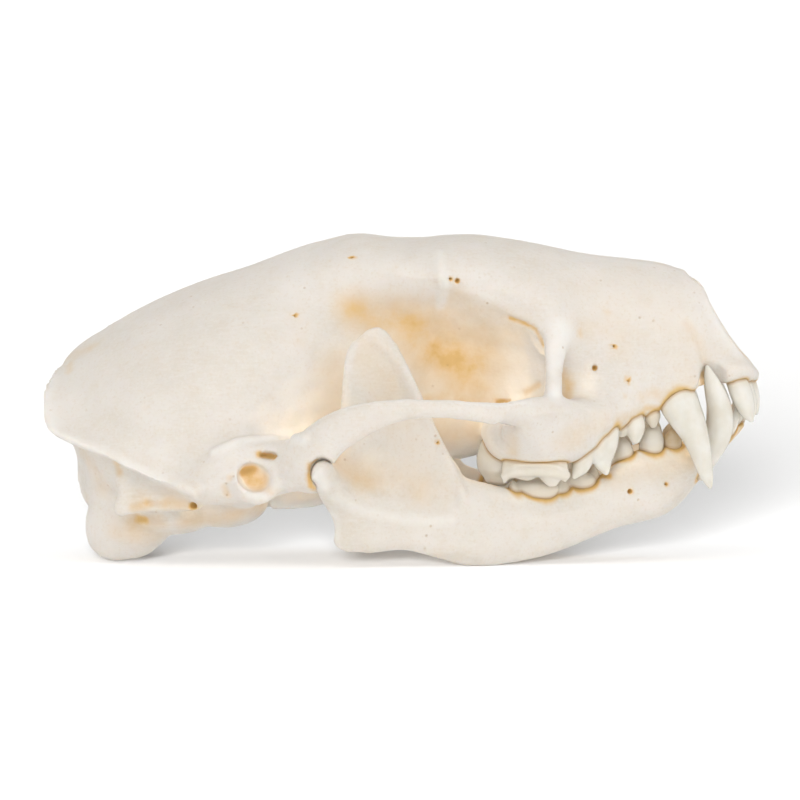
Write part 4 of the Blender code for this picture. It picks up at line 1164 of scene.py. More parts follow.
JAW_FORAMINA = ((22.9, 6.9, 0.28, 0.35), (26.5, 7.6, 0.18, 0.25), (3.7, 11.8, 0.1, 0.15))


def copied(thing, name):
    """The same piece again, with a mesh of its own."""
    twin = bpy.data.objects.new(name, thing.data.copy())
    bpy.context.scene.collection.objects.link(twin)
    return twin


def mirrored(thing, name):
    """The same piece on the other side."""
    twin = copied(thing, name)
    place_all(twin.data, positions(twin.data) * (1.0, -1.0, 1.0))
    return face_out(twin)


jaw_right = mirrored(jaw_left, "jaw_right")
bpy.data.objects.remove(jaw_left)
rubbed(jaw_right, JAW_JOINS, sides=(1,))
worked(jaw_right, JAW_RELIEF, sides=(1,))
drilled(jaw_right, JAW_FORAMINA, sides=(1,))
jaw_left = mirrored(jaw_right, "jaw_left")
print("deepest hollow for the chewing muscle", max(row[2] for row in JAW_RELIEF), "mm")

# %% [markdown]
# ## Teeth
#
# Each tooth is one or more cusps on a root. A cusp is a short limb that narrows to its
# tip, and the cusps of a tooth are pressed into one crown. A finer voxel keeps the tips
# sharp. The left teeth are made and then mirrored. Each table below lists a tooth's cusps,
# and each cusp's stations from its root to its tip.

# %% Upper teeth
UPPER_TEETH = {
    "incisor_1": (
        ((34.5, 1, 19, 0.4, 0.5), (34.9, 1, 18.2, 0.75, 0.6), (35.3, 1, 16.8, 0.82, 0.6),
         (35.55, 1, 15.5, 0.8, 0.42), (35.6, 1, 14.7, 0.66, 0.2)),
    ),
    "incisor_2": (
        ((34, 2.7, 19, 0.4, 0.5), (34.3, 2.75, 18.2, 0.78, 0.7), (34.8, 2.8, 16.8, 0.85, 0.7),
         (35.15, 2.8, 15.4, 0.78, 0.5), (35.25, 2.8, 14.6, 0.6, 0.22)),
    ),
    "incisor_3": (
        ((32.6, 4, 20.2, 0.6, 0.8), (33.55, 4.3, 18.2, 0.88, 1.05),
         (34.05, 4.5, 16.9, 0.95, 1.12), (34.5, 4.55, 15.6, 0.85, 0.95),
         (34.85, 4.5, 14.7, 0.6, 0.6), (35.1, 4.4, 14.2, 0.3, 0.28)),
    ),
    "canine": (
        ((26.2, 6, 20.4, 0.9, 1.3), (27.2, 6.7, 17.6, 1.35, 1.9), (27.9, 7.1, 15.9, 1.45, 1.95),
         (28.5, 7.3, 14.7, 1.35, 1.75), (29.1, 7.5, 13.6, 1.2, 1.55),
         (29.55, 7.6, 12.5, 1.05, 1.3), (30, 7.75, 11.1, 0.88, 1.08),
         (30.35, 7.85, 9.7, 0.7, 0.85), (30.7, 7.9, 8.5, 0.48, 0.58),
         (30.95, 7.9, 7.7, 0.2, 0.24)),
    ),
    "premolar_2": (
        ((24.8, 6.9, 16.8, 0.45, 0.5), (25.1, 6.95, 15.4, 0.65, 0.78),
         (25.15, 7, 14.8, 0.68, 0.84), (25.2, 7, 14.3, 0.58, 0.7), (25.25, 7, 13.85, 0.36, 0.42)),
    ),
    "premolar_3": (
        ((23.2, 7.3, 17, 0.6, 0.8), (23.25, 7.65, 14.8, 0.9, 1.05), (23.4, 7.8, 13.9, 0.9, 1.05),
         (23.45, 7.85, 13.1, 0.75, 0.88), (23.45, 7.9, 12.35, 0.42, 0.5)),
        ((22, 7.5, 16, 0.6, 0.6), (22.15, 7.75, 14.2, 0.8, 0.88), (22.1, 7.85, 13.5, 0.7, 0.8),
         (22.05, 7.85, 12.95, 0.35, 0.5)),
    ),
    "premolar_4": (
        ((20.9, 8.3, 16.4, 0.9, 0.9), (20.75, 8.7, 14, 1.15, 1.15),
         (20.4, 8.95, 12.2, 1.15, 1.35), (20.15, 9.1, 11.1, 1, 1.25),
         (20.2, 9.25, 10.3, 0.75, 0.98), (20.4, 9.35, 9.7, 0.5, 0.68),
         (20.6, 9.4, 9.15, 0.2, 0.28)),
        ((18.3, 9.4, 14.4, 0.9, 1), (18.6, 9.7, 12.6, 1.05, 1.15), (18.4, 9.95, 11.4, 0.95, 1.1),
         (18.2, 10.1, 10.6, 0.8, 1.05), (18, 10.25, 9.95, 0.6, 0.92),
         (17.65, 10.35, 9.35, 0.4, 0.6), (17.3, 10.4, 8.8, 0.18, 0.26)),
        ((19.6, 9.2, 14.4, 0.9, 1.4), (19.5, 9.5, 12.2, 0.95, 1.5), (19.3, 9.7, 10.9, 0.6, 1.3),
         (19.25, 9.75, 10.3, 0.25, 0.8)),
        ((20.4, 7.2, 15.4, 0.8, 0.8), (20.4, 7.2, 13, 1, 1), (20.4, 7.2, 12, 0.5, 0.6)),
    ),
    "molar_1": (
        ((12.4, 10.6, 12.4, 1, 1.6), (12.3, 11.2, 10.6, 1.05, 1.8), (12.2, 11.4, 9.8, 0.95, 1.8),
         (12.1, 11.5, 9.3, 0.7, 1.55), (12, 11.5, 8.9, 0.3, 1.1)),
        ((15, 10.8, 12.2, 1, 1.4), (15, 11.2, 10.4, 1.05, 1.6), (15.05, 11.4, 9.5, 0.95, 1.5),
         (15.1, 11.45, 8.8, 0.65, 1.1), (15.2, 11.45, 8.15, 0.25, 0.55)),
        ((10.3, 11.5, 9, 0.4, 0.4), (11.4, 11.6, 9.45, 0.85, 0.6), (13.4, 11.6, 9.55, 1, 0.62),
         (15.4, 11.55, 9.35, 0.95, 0.66), (16.6, 11.3, 9.1, 0.5, 0.5)),
        ((10.5, 11.8, 9.7, 0.2, 0.18), (11.8, 12.15, 10.15, 0.34, 0.26),
         (13.6, 12.3, 10.2, 0.34, 0.26), (15.4, 12.15, 10.05, 0.34, 0.28),
         (16.6, 11.6, 9.6, 0.25, 0.25)),
        ((11.2, 10.8, 11.6, 0.7, 0.7), (10.8, 11.3, 9.9, 0.75, 0.7), (10.6, 11.5, 9.1, 0.5, 0.5),
         (10.4, 11.5, 8.45, 0.2, 0.2)),
        ((16, 11, 11.4, 0.7, 0.6), (16.1, 11.25, 9.8, 0.7, 0.65), (16.35, 11.3, 9, 0.45, 0.45),
         (16.45, 11.3, 8.55, 0.2, 0.2)),
        ((10.6, 8.8, 13.2, 1.2, 1.6), (10.2, 8.9, 11.6, 1.7, 2.3), (10, 9, 10.4, 1.8, 2.4),
         (9.8, 9.1, 9.3, 1.5, 2.1), (9.7, 9.2, 8.6, 0.9, 1.4)),
        ((12.6, 8.4, 13.2, 1.4, 1.6), (12.6, 8.4, 11.4, 2, 2.2), (12.6, 8.4, 10.5, 1.9, 2.3),
         (12.6, 8.4, 10, 1.3, 1.8)),
    ),
}

# %% Lower teeth
LOWER_TEETH = {
    "incisor_1": (
        ((32.9, 0.75, 12.6, 0.4, 0.5), (33.9, 0.75, 13.8, 0.5, 0.5), (34.3, 0.75, 15, 0.5, 0.4),
         (34.3, 0.75, 15.9, 0.4, 0.2)),
    ),
    "incisor_2": (
        ((32.6, 2, 12.4, 0.4, 0.5), (33.5, 2.05, 13.8, 0.5, 0.5), (33.9, 2.1, 15, 0.5, 0.45),
         (33.9, 2.1, 15.9, 0.4, 0.22)),
    ),
    "incisor_3": (
        ((32.4, 3.2, 12.2, 0.4, 0.5), (33.2, 3.3, 13.6, 0.5, 0.5), (33.5, 3.35, 14.8, 0.5, 0.45),
         (33.5, 3.35, 15.6, 0.35, 0.22)),
    ),
    "canine": (
        ((29.6, 4, 8.8, 0.7, 1), (30.9, 4.4, 11, 0.9, 1.2), (31.7, 4.7, 12.6, 1, 1.3),
         (32, 4.9, 13.9, 1, 1.3), (31.95, 5.1, 15.2, 0.95, 1.25), (31.65, 5.3, 16.4, 0.8, 1.12),
         (31.25, 5.5, 17.7, 0.6, 0.88), (30.85, 5.7, 18.9, 0.4, 0.55),
         (30.6, 5.8, 19.7, 0.18, 0.22)),
    ),
    "premolar_2": (
        ((27.1, 4.9, 9.8, 0.5, 0.7), (27.2, 5, 11.6, 0.65, 0.95), (27.2, 5.05, 12.6, 0.6, 0.9),
         (27.2, 5.1, 13.15, 0.38, 0.55), (27.2, 5.1, 13.45, 0.2, 0.25)),
    ),
    "premolar_3": (
        ((25, 5.5, 9.6, 0.6, 0.9), (25.05, 5.7, 11.2, 0.88, 1.25), (25.1, 5.8, 12.2, 0.9, 1.25),
         (25.2, 5.85, 13.1, 0.7, 1), (25.3, 5.9, 13.75, 0.35, 0.62)),
    ),
    "premolar_4": (
        ((22.3, 6.1, 8.4, 0.7, 1), (22.3, 6.3, 10.2, 0.95, 1.2), (22.3, 6.4, 11, 0.85, 1.08),
         (22.3, 6.45, 12, 0.55, 0.72), (22.25, 6.45, 12.6, 0.25, 0.32)),
        ((21.3, 6.3, 8.4, 0.5, 0.5), (21.2, 6.4, 10.4, 0.6, 0.55),
         (21.15, 6.4, 11.1, 0.35, 0.35)),
    ),
    "molar_1": (
        ((18, 7.6, 5.8, 0.9, 1.4), (18, 7.8, 7.8, 1.3, 1.8), (17.6, 8.3, 8.8, 0.9, 1.2),
         (17.4, 8.6, 9.5, 0.3, 0.42)),
        ((19.2, 7.2, 6.6, 0.8, 0.8), (19.3, 7.4, 8.6, 0.8, 0.7), (19.3, 7.5, 9.6, 0.3, 0.35)),
        ((17, 7, 6.6, 0.8, 0.8), (16.9, 7.1, 8.4, 0.7, 0.7), (16.9, 7.1, 9.3, 0.3, 0.35)),
        ((13.6, 9.3, 4.8, 0.7, 1.4), (13.6, 9.4, 6.6, 0.9, 2), (13.5, 9.65, 7.6, 1.15, 2.4),
         (13.5, 9.7, 8.2, 0.95, 2.15), (13.5, 9.7, 8.6, 0.55, 1.6)),
        ((11.6, 9.9, 5.4, 0.6, 0.7), (11.4, 10.1, 7, 0.8, 0.8), (11.3, 10.2, 8, 0.5, 0.5),
         (11.3, 10.2, 8.4, 0.25, 0.25)),
        ((15.8, 8, 5.8, 0.8, 1.3), (15.8, 8.5, 7.4, 1.2, 1.4), (15.8, 8.6, 8.2, 0.9, 1.1)),
    ),
    "molar_2": (
        ((9, 10.2, 5.8, 0.7, 0.8), (9, 10.2, 6.9, 0.95, 1), (9, 10.2, 7.5, 0.7, 0.8)),
    ),
}

# %% Shape the teeth
TOOTH_VOXEL = 0.11
teeth = {}
for row, kinds in (("upper", UPPER_TEETH), ("lower", LOWER_TEETH)):
    for kind, cusps in kinds.items():
        parts = []
        for cusp in cusps:
            upright = abs(cusp[-1][2] - cusp[0][2]) > abs(cusp[-1][0] - cusp[0][0])
            up = (1.0, 0.0, 0.0) if upright else (0.0, 0.0, 1.0)
            parts.append(limb("cusp", cusp, up=up))
        crown = fuse(joined(f"tooth_{row}_{kind}_left", parts), TOOTH_VOXEL, rounds=4)
        teeth[row, kind, "left"] = crown
        teeth[row, kind, "right"] = mirrored(crown, f"tooth_{row}_{kind}_right")
print(len(teeth), "teeth,", sum(len(t.data.polygons) for t in teeth.values()), "faces")

# %% [markdown]
# ## Sockets
#
# A tooth sits in a socket a hair wider than itself, and that fine dark line is what shows
# round the neck of every tooth. The teeth are copied, swollen by a fiftieth of a millimetre,
# given one skin, because neighbours now touch, and cut out of their bone. The skull's mesh is
# thinned before the cut and after it, where its form is plain, so that it stays a handy size.

# %% Cut the sockets
SOCKET_GAP = 0.02
SOCKET_VOXEL = 0.13
TRIANGLES_TO_CUT = 180000
SKULL_TRIANGLES = 194000


def thin_to(thing, triangles):
    """Fewer, larger faces where the form is plain."""
    counted = sum(len(face.vertices) - 2 for face in thing.data.polygons)
    applied(thing, "DECIMATE", ratio=min(1.0, triangles / counted))


def swollen(things):
    """The teeth together, thicker all round by the socket gap."""
    copies = [copied(thing, "swollen") for thing in things]
    for copy in copies:
        place_all(copy.data, positions(copy.data) + SOCKET_GAP * outward(copy.data))
    return fuse(joined("swollen", copies), SOCKET_VOXEL, rounds=1)


def sockets(bone, row, sides):
    carve(bone, [swollen([teeth[key] for key in teeth if key[0] == row and key[2] in sides])])


thin_to(skull, TRIANGLES_TO_CUT)
sockets(skull, "upper", ("left", "right"))
sockets(jaw_left, "lower", ("left",))
sockets(jaw_right, "lower", ("right",))
thin_to(skull, SKULL_TRIANGLES)
print("skull", len(skull.data.polygons), "faces after its sockets")

# %% [markdown]
# ## Stains, painted shade and painted highlights
#
# The bone round the teeth keeps a brown stain, and the face a few smudges. The orbit, the
# ear and the hollows under the skull get ochre and brown painted shade, with some real stain
# there too, and edges, ridges and thin bars get paler painted highlights. All are painted on
# with the same strokes as the relief, as one number for each vertex: above 0 it holds stain
# and painted shade, and below 0 painted highlight. The material reads the number as an
# attribute.

# %% Paint the stains, the painted shade and the painted highlights
SKULL_STAINS_AND_LIGHT = (
    # Painted shade, ochre and brown, inside the orbit, under the cheek arch and in the temple,
    # with some real stain there too.
    (((2.5, 22.6), (4.5, 21.4), (7, 20)), 5.6, 0.34),
    (((3, 19.4), (4, 20.6)), 2.6, 0.12),
    (((6, 18.8), (8.5, 17.6)), 3.4, 0.12),
    (((9, 22.4), (11.5, 20.4)), 3.4, 0.06),
    (((2, 17.2), (5, 16.6)), 2, 0.12),
    (((-4.4, 24.8), (-2.6, 24.4), (-0.6, 24.4)), 3.6, 0.25),
    (((-4.6, 25), (-3, 24.4)), 1.8, 0.12),
    (((5.5, 26), (9, 24.2), (12, 23)), 2.6, 0.12),
    (((11, 24.2), (12.4, 23.7), (13.5, 23.1), (14.3, 21.5)), 0.36, 0.45),
    (((2.5, 16.1), (7, 15.9), (10, 15.8)), 0.8, 0.2),
    (((9.8, 15.8), (10.9, 15.9)), 0.45, 0.6),
    (((12.6, 16.8), (13.8, 17.5)), 0.6, 0.25),
    (((1.5, 13.5), (4.5, 13), (7, 13)), 2.6, 0.22),
    (((11.2, 12), (11.2, 10.8)), 1.2, 0.12),
    (((-7, 18.8), (-6.4, 17), (-7, 15.2)), 3.4, 0.06),
    # Painted shade inside the ear's opening and slit, in the ring round the jaw joint, and in the
    # hollows behind the ear and under the skull and the crest.
    (((-15.2, 8.8), (-14.8, 8), (-13.8, 7.8)), 1.6, 0.5),
    (((-15.4, 9), (-14.4, 9.3)), 0.9, 0.3),
    (((-14.4, 7), (-13.2, 7)), 1, 0.15),
    (((-14, 10.6), (-12.4, 10.3)), 0.6, 0.7),
    (((-26.4, 5.2), (-25.2, 5.6)), 0.9, 0.22),
    (((-25, 5.9), (-23.6, 5.5)), 0.7, 0.14),
    (((-23, 5.8), (-21.4, 5.6), (-20.2, 5.4)), 1.1, 0.18),
    (((-26, 6.4), (-22, 6.2)), 1.8, 0.08),
    (((-16.9, 8.3),), 0.6, 0.2),
    (((-17.4, 7.4), (-17.1, 6.6)), 0.6, 0.2),
    (((-26, 4.2), (-25.4, 4.1)), 0.8, 0.35),
    (((-26.4, 4), (-24, 3.8)), 1.6, 0.15),
    (((-21, 4), (-17.5, 4.2), (-13.8, 5.6)), 2, 0.2),
    (((-31.6, 10.8), (-30.6, 9), (-29.6, 7.6)), 2.2, 0.08),
    (((-29, 10.8), (-28.3, 10), (-27.9, 8.8)), 0.6, 0.2),
    (((-33.8, 19.8), (-32.8, 20.5), (-31, 21.2)), 1.6, 0.12),
    (((-33, 19.6), (-33, 18.9)), 0.8, 0.15),
    (((-28, 3), (-26, 2.5), (-24.4, 2.6)), 2.2, 0.12),
    (((-8.3, 10.1), (-8.95, 9.6), (-9.05, 8.6), (-8.8, 7.4), (-8.2, 7)), 0.5, 0.5),
    # Along the gum, above the teeth, and small smudges on the face.
    (((16, 11.8), (20, 13.8)), 2, 0.07),
    (((21.8, 14), (23, 14.4), (24, 14.8)), 1, 0.15),
    (((24.6, 15.2), (25.8, 15.2)), 0.6, 0.35),
    (((22.4, 16.4),), 0.5, 0.15),
    (((24.2, 16.3), (25.2, 16.8)), 1, 0.12),
    (((28.6, 23.6), (29.8, 21.6), (30.4, 19.6)), 1, 0.08),
    (((30.1, 18.6), (30.3, 17.4)), 0.7, 0.4),
    # Painted shade at the mouth of the tunnel under the eye.
    (((16, 18.8), (16.8, 17.6), (16.6, 16.2)), 1, 0.3),
    (((-13, 29.8),), 0.25, 0.4),
    (((-5, 30.2), (-4.5, 30.3)), 0.2, 0.4),
    (((-10.5, 24.5), (-9.8, 23), (-10, 21.3)), 1, 0.05),
    (((26, 16.4), (29, 17.6)), 1.2, 0.1),
    (((18, 23), (21, 23.5), (22, 21)), 2, 0.05),
    (((20, 26.4), (26, 24.4), (29.6, 20.4)), 5, 0.04),
    (((20.4, 25), (21, 24.4)), 0.5, 0.12),
    (((17.8, 23.2), (18, 22.4)), 0.4, 0.15),
    # Below zero: paler painted highlights on edges and ridges, and painted light on the thin
    # cheek arch, orbit bar and plates under the skull.
    (((3.9, 30.8), (4.1, 29), (4.4, 27.6)), 0.9, -0.28),
    (((4.4, 27.6), (4, 25.4)), 0.9, -0.16),
    (((-34.6, 18.4), (-35.5, 15.8), (-34.6, 13.2)), 1.2, -0.4),
    (((-34.4, 12.6), (-31, 11.4), (-27, 9.6), (-23, 7.6)), 0.9, -0.4),
    (((-18.6, 11), (-16, 12), (-12.5, 12.2), (-9.6, 12)), 0.8, -0.4),
    (((-8.8, 18.8, 12.8), (-4.6, 21, 15.6), (0, 21, 16.6), (7, 19.4, 16.4),
      (12, 16.2, 16)), 2.2, -0.5),
    (((15.2, 12.6, 17.2), (15.3, 12.2, 19.2), (15.6, 11.2, 21.4), (15.9, 10, 23.4)), 1.9,
     -0.5),
    (((-15.9, 8.2), (-15, 6.6), (-13.4, 6.4)), 0.6, -0.4),
    (((-12.6, 5.5), (-10, 5.3), (-7.6, 5.6)), 0.9, -0.6),
    (((17, 30.6), (24, 29.6), (29, 28.6)), 1.4, -0.15),
    (((30.8, 25.6), (32.4, 22.6), (34, 20.6)), 0.9, -0.35),
    # Inside the nose.
    (((30, 3.5, 22), (33.5, 2, 20.6)), 2, 0.3),
)
# Above 0: stain at the gum and chin, and painted shade in the hollow for the chewing muscle and
# on the blade above it. Below 0: paler painted highlights on the condyle, the blade's edges and
# the ridges round the hollow.
JAW_STAINS_AND_LIGHT = (
    (((-3.2, 20.6), (-2.2, 18.8), (-1.2, 17)), 3, 0.1),
    (((-3.6, 24), (-0.8, 23.2), (0.6, 19.8), (2.2, 16)), 0.8, -0.25),
    (((-4.4, 22.6), (-5.6, 19)), 0.8, -0.15),
    (((-8.6, 9.6), (-8.2, 8.4), (-7.6, 7.4)), 1.3, -0.5),
    (((-6.4, 6.2), (-4, 5), (0, 4.2), (5, 4)), 0.9, -0.25),
    (((-6.6, 4.6), (-6.4, 2.4)), 0.9, -0.3),
    (((-6.2, 9.8), (-5, 9), (-3.8, 8.2)), 2.6, 0.15),
    (((-3.6, 8.4), (0, 8), (2, 7)), 2.6, 0.08),
    (((21.2, 8.2), (25, 9), (28, 9.8)), 2, 0.1),
    (((0.4, 13), (2, 10), (3, 7.4)), 3.4, 0.06),
    (((27.2, 11.4), (28.4, 11.2), (29.4, 9.8)), 1.4, 0.14),
    (((19.7, 8.6), (20.8, 8.4)), 0.6, 0.5),
    (((26.3, 12), (27, 11.9), (28.1, 11.8)), 0.7, 0.5),
)
print(len(SKULL_STAINS_AND_LIGHT) + len(JAW_STAINS_AND_LIGHT), "strokes of stain")

# %% Put the stains and the painted light on the bones
GUM_STAIN = {"upper": (0.38, 0.65), "lower": (0.5, 0.8)}  # how far from a tooth, how strong
# How far past its rim each foramen is painted brown.
HOLE_BROWN_REACH = 0.3
BAR_REACH = 4.5


def store(piece, name, values):
    layer = piece.data.attributes.new(name, "FLOAT", "POINT")
    layer.data.foreach_set("value", np.asarray(values, float))


def paint_stain_and_light(thing, tree, marks, holes, sides, row):
    """Each vertex's number: stain and painted shade from the strokes above 0, painted highlight
    below 0, brown round the foramina and stain along the gum line.
    """
    stain_and_painted_light = np.zeros(len(thing.data.vertices))
    for path, radius, share in marks:
        stain_and_painted_light += share * mark_shares(thing, path, radius, sides, tree)
    for x, height, radius, _ in holes:
        stain_and_painted_light += mark_shares(thing, ((x, height),), radius + HOLE_BROWN_REACH, sides, tree)
    reach, strength = GUM_STAIN[row]
    crowns = joined("crowns", [copied(teeth[key], "crowns") for key in teeth if key[0] == row])
    places, crown_places = positions(thing.data), positions(crowns.data)
    near = (places > crown_places.min(0) - reach) & (places < crown_places.max(0) + reach)
    crown_tree = surface_of(crowns)
    for index in np.flatnonzero(near.all(1)):
        gap = crown_tree.find_nearest(places[index], reach)[3]
        if gap is not None:
            stain_and_painted_light[index] += strength * (1.0 - gap / reach)
    bpy.data.objects.remove(crowns)
    store(thing, "stain_and_painted_light", np.clip(stain_and_painted_light, -1.0, 1.0))


near_jaw = surface_of(jaw_right)
paint_stain_and_light(skull, surface_of(skull), SKULL_STAINS_AND_LIGHT, FORAMINA, (1, -1), "upper")
paint_stain_and_light(jaw_right, near_jaw, JAW_STAINS_AND_LIGHT, JAW_FORAMINA, (1,), "lower")
paint_stain_and_light(jaw_left, near_jaw, JAW_STAINS_AND_LIGHT, JAW_FORAMINA, (-1,), "lower")
# 0 on the orbit bar and on the middle of the cheek arch, and 1 away from them.
bars = (ORBIT_BAR, CHEEK_ARCH[3:12])
on_bars = [mark_shares(skull, [row[:3] for row in bar], BAR_REACH) for bar in bars]
off_bars = 1.0 - np.sqrt(np.maximum(*on_bars))
print("stains stored on the skull and both halves of the jaw")

# %% [markdown]
# ## Into place
#
# Everything so far is in millimetres about the measuring lines. Blender works in metres,
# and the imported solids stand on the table, so each mesh is scaled and shifted to lie on them.

# %% Move everything into place
SHIFT = Vector((-0.26, 0.0, -0.07))
bones = [skull, jaw_left, jaw_right]
pieces = bones + list(teeth.values())
only(*pieces)
for piece in pieces:
    piece.location = MM * SHIFT
    piece.scale = (MM, MM, MM)
bpy.ops.object.transform_apply(location=True, rotation=True, scale=True)
bpy.ops.object.shade_smooth()
print(sum(len(piece.data.polygons) for piece in pieces), "faces in all")

# %% [markdown]
# ## Where the bone is hollow
#
# The material paints sheltered places a lighter, warmer cream with a faint glow: painted
# light, for light that bounces inside them and shines through thin bone. How sheltered each
# point is gets measured once, by sending a fan of rays outwards from every point of a coarse
# copy of the skull. The bones' own vertices take the mean of the nearest points, and it is
# stored on the mesh as an attribute that the material reads. The bars round the orbit are
# left out of it, because they are open to the light from every side.

# %% Send out the rays
COARSE_VOXEL = 0.8 * MM
RAYS = 36
SHELTER_REACH = 16.0 * MM
LIFT = 0.15 * MM


def sheltered(thing):
    """For each vertex, the share of outward rays that soon meet something."""
    tree = surface_of(thing)
    # The rays wind round in a spiral, from straight out to almost level with the surface.
    k = np.arange(RAYS) + 0.5
    high = 1 - k / RAYS * 0.94
    around = np.pi * (1 + 5**0.5) * k
    flat = np.sqrt(1 - high**2)
    fan = np.column_stack([flat * np.cos(around), flat * np.sin(around), high])
    shares = []
    for vertex in thing.data.vertices:
        normal = vertex.normal
        turn = np.array(Vector((0, 0, 1)).rotation_difference(normal).to_matrix())
        start = vertex.co + LIFT * normal
        hits = 0.0
        for ray in fan @ turn.T:
            gap = tree.ray_cast(start, Vector(ray), SHELTER_REACH)[3]
            hits += 0.0 if gap is None else 1.0 - 0.5 * gap / SHELTER_REACH
        shares.append(hits / RAYS)
    return np.array(shares)


coarse = joined("coarse", [copied(piece, "coarse") for piece in pieces])
fuse(coarse, COARSE_VOXEL, rounds=0)
shares = sheltered(coarse)
print("rays from", len(shares), "points")

# %% Store the hollows
lookup = KDTree(len(shares))
for index, vertex in enumerate(coarse.data.vertices):
    lookup.insert(vertex.co, index)
lookup.balance()
for piece in bones:
    values = []
    for vertex in piece.data.vertices:
        near = lookup.find_n(vertex.co, 4)
        weight = [1.0 / (gap + 0.1 * MM) for _, _, gap in near]
        values.append(sum(w * shares[i] for w, (_, i, _) in zip(weight, near)) / sum(weight))
    if piece == skull:
        values = off_bars * values
    store(piece, "hollow", values)
    print(piece.name, "hollow from", round(min(values), 2), "to", round(max(values), 2))
bpy.data.objects.remove(coarse)

# %% [markdown]
# ## Bleached bone
#
# Clean bone is a warm cream, never flat: faint clouds of tone, a fine grain, tiny pores
# and a few darker pits. Noise in object coordinates gives the clouds and the pits, and noise
# drawn out along the skull gives the fibres that bone grows in. Bone lets a little light in,
# so edges look soft. Sheltered places are painted a lighter, warmer cream, and they alone
# get a faint glow of their own colour: painted light, for light that bounces inside them and
# shines through thin bone. The stains go from ochre to brown, and in the recesses they are
# painted shade as well; the painted highlights on edges are paler.

# %% Helpers for materials
def new_material(name):
    material = bpy.data.materials.new(name)
    material.use_nodes = True
    return material, material.node_tree, material.node_tree.nodes["Principled BSDF"]


def fill(tree, made, inputs):
    """Sets a node's inputs, or links them where the value comes from another node."""
    for key, value in inputs.items():
        if isinstance(value, bpy.types.NodeSocket):
            tree.links.new(value, made.inputs[key])
        else:
            made.inputs[key].default_value = value


def node(tree, kind, inputs, **settings):
    """Adds a node, sets its options and fills its inputs."""
    made = tree.nodes.new(kind)
    for key, value in settings.items():
        setattr(made, key, value)
    fill(tree, made, inputs)
    return made


def place_in(tree):
    return node(tree, "ShaderNodeTexCoord", {}).outputs["Object"]


def drawn_out(tree, where, scale):
    """A place scaled apart along the axes, so that a pattern runs in lines."""
    return node(tree, "ShaderNodeMapping", {"Vector": where, "Scale": scale}).outputs[0]


def stored(tree, name):
    """Reads a number that the script stored on the mesh."""
    return node(tree, "ShaderNodeAttribute", {}, attribute_name=name).outputs["Fac"]


def times(tree, first, second):
    return node(tree, "ShaderNodeMath", {0: first, 1: second}, operation="MULTIPLY").outputs[0]


def noise(tree, where, scale, detail=3.0, rough=0.5):
    made = node(tree, "ShaderNodeTexNoise", {
        "Vector": where, "Scale": scale, "Detail": detail, "Roughness": rough})
    return made.outputs["Fac"]


def stretch(tree, value, low, high, to_low=0.0, to_high=1.0):
    """Spreads a range of values over another one, and stops at its ends."""
    made = node(tree, "ShaderNodeMapRange", {
        "Value": value, "From Min": low, "From Max": high, "To Min": to_low, "To Max": to_high})
    return made.outputs["Result"]


def mix(tree, share, first, second):
    """Two colours mixed. They are sockets 6 and 7 of the node, and the result is socket 2."""
    made = node(tree, "ShaderNodeMix", {0: share, 6: first, 7: second}, data_type="RGBA")
    return made.outputs[2]


def bumps(tree, heights):
    """Stacks several bumps: each is a height, a strength and a depth in metres."""
    normal = None
    for height, strength, depth in heights:
        inputs = {"Height": height, "Strength": strength, "Distance": depth}
        if normal is not None:
            inputs["Normal"] = normal
        normal = node(tree, "ShaderNodeBump", inputs).outputs["Normal"]
    return normal


print("helpers for materials are ready")

# %% Make the bone
# Paler colour of the painted highlights on edges and ridges, and of the painted light on thin
# bars.
PAINTED_HIGHLIGHT = (0.72, 0.70, 0.665, 1.0)
BROWN = (0.40, 0.22, 0.05, 1.0)
IN_PITS = (0.42, 0.27, 0.13, 1.0)
UNLIT = (0.0, 0.0, 0.0, 1.0)
LIGHT_THROUGH_BONE = 0.21


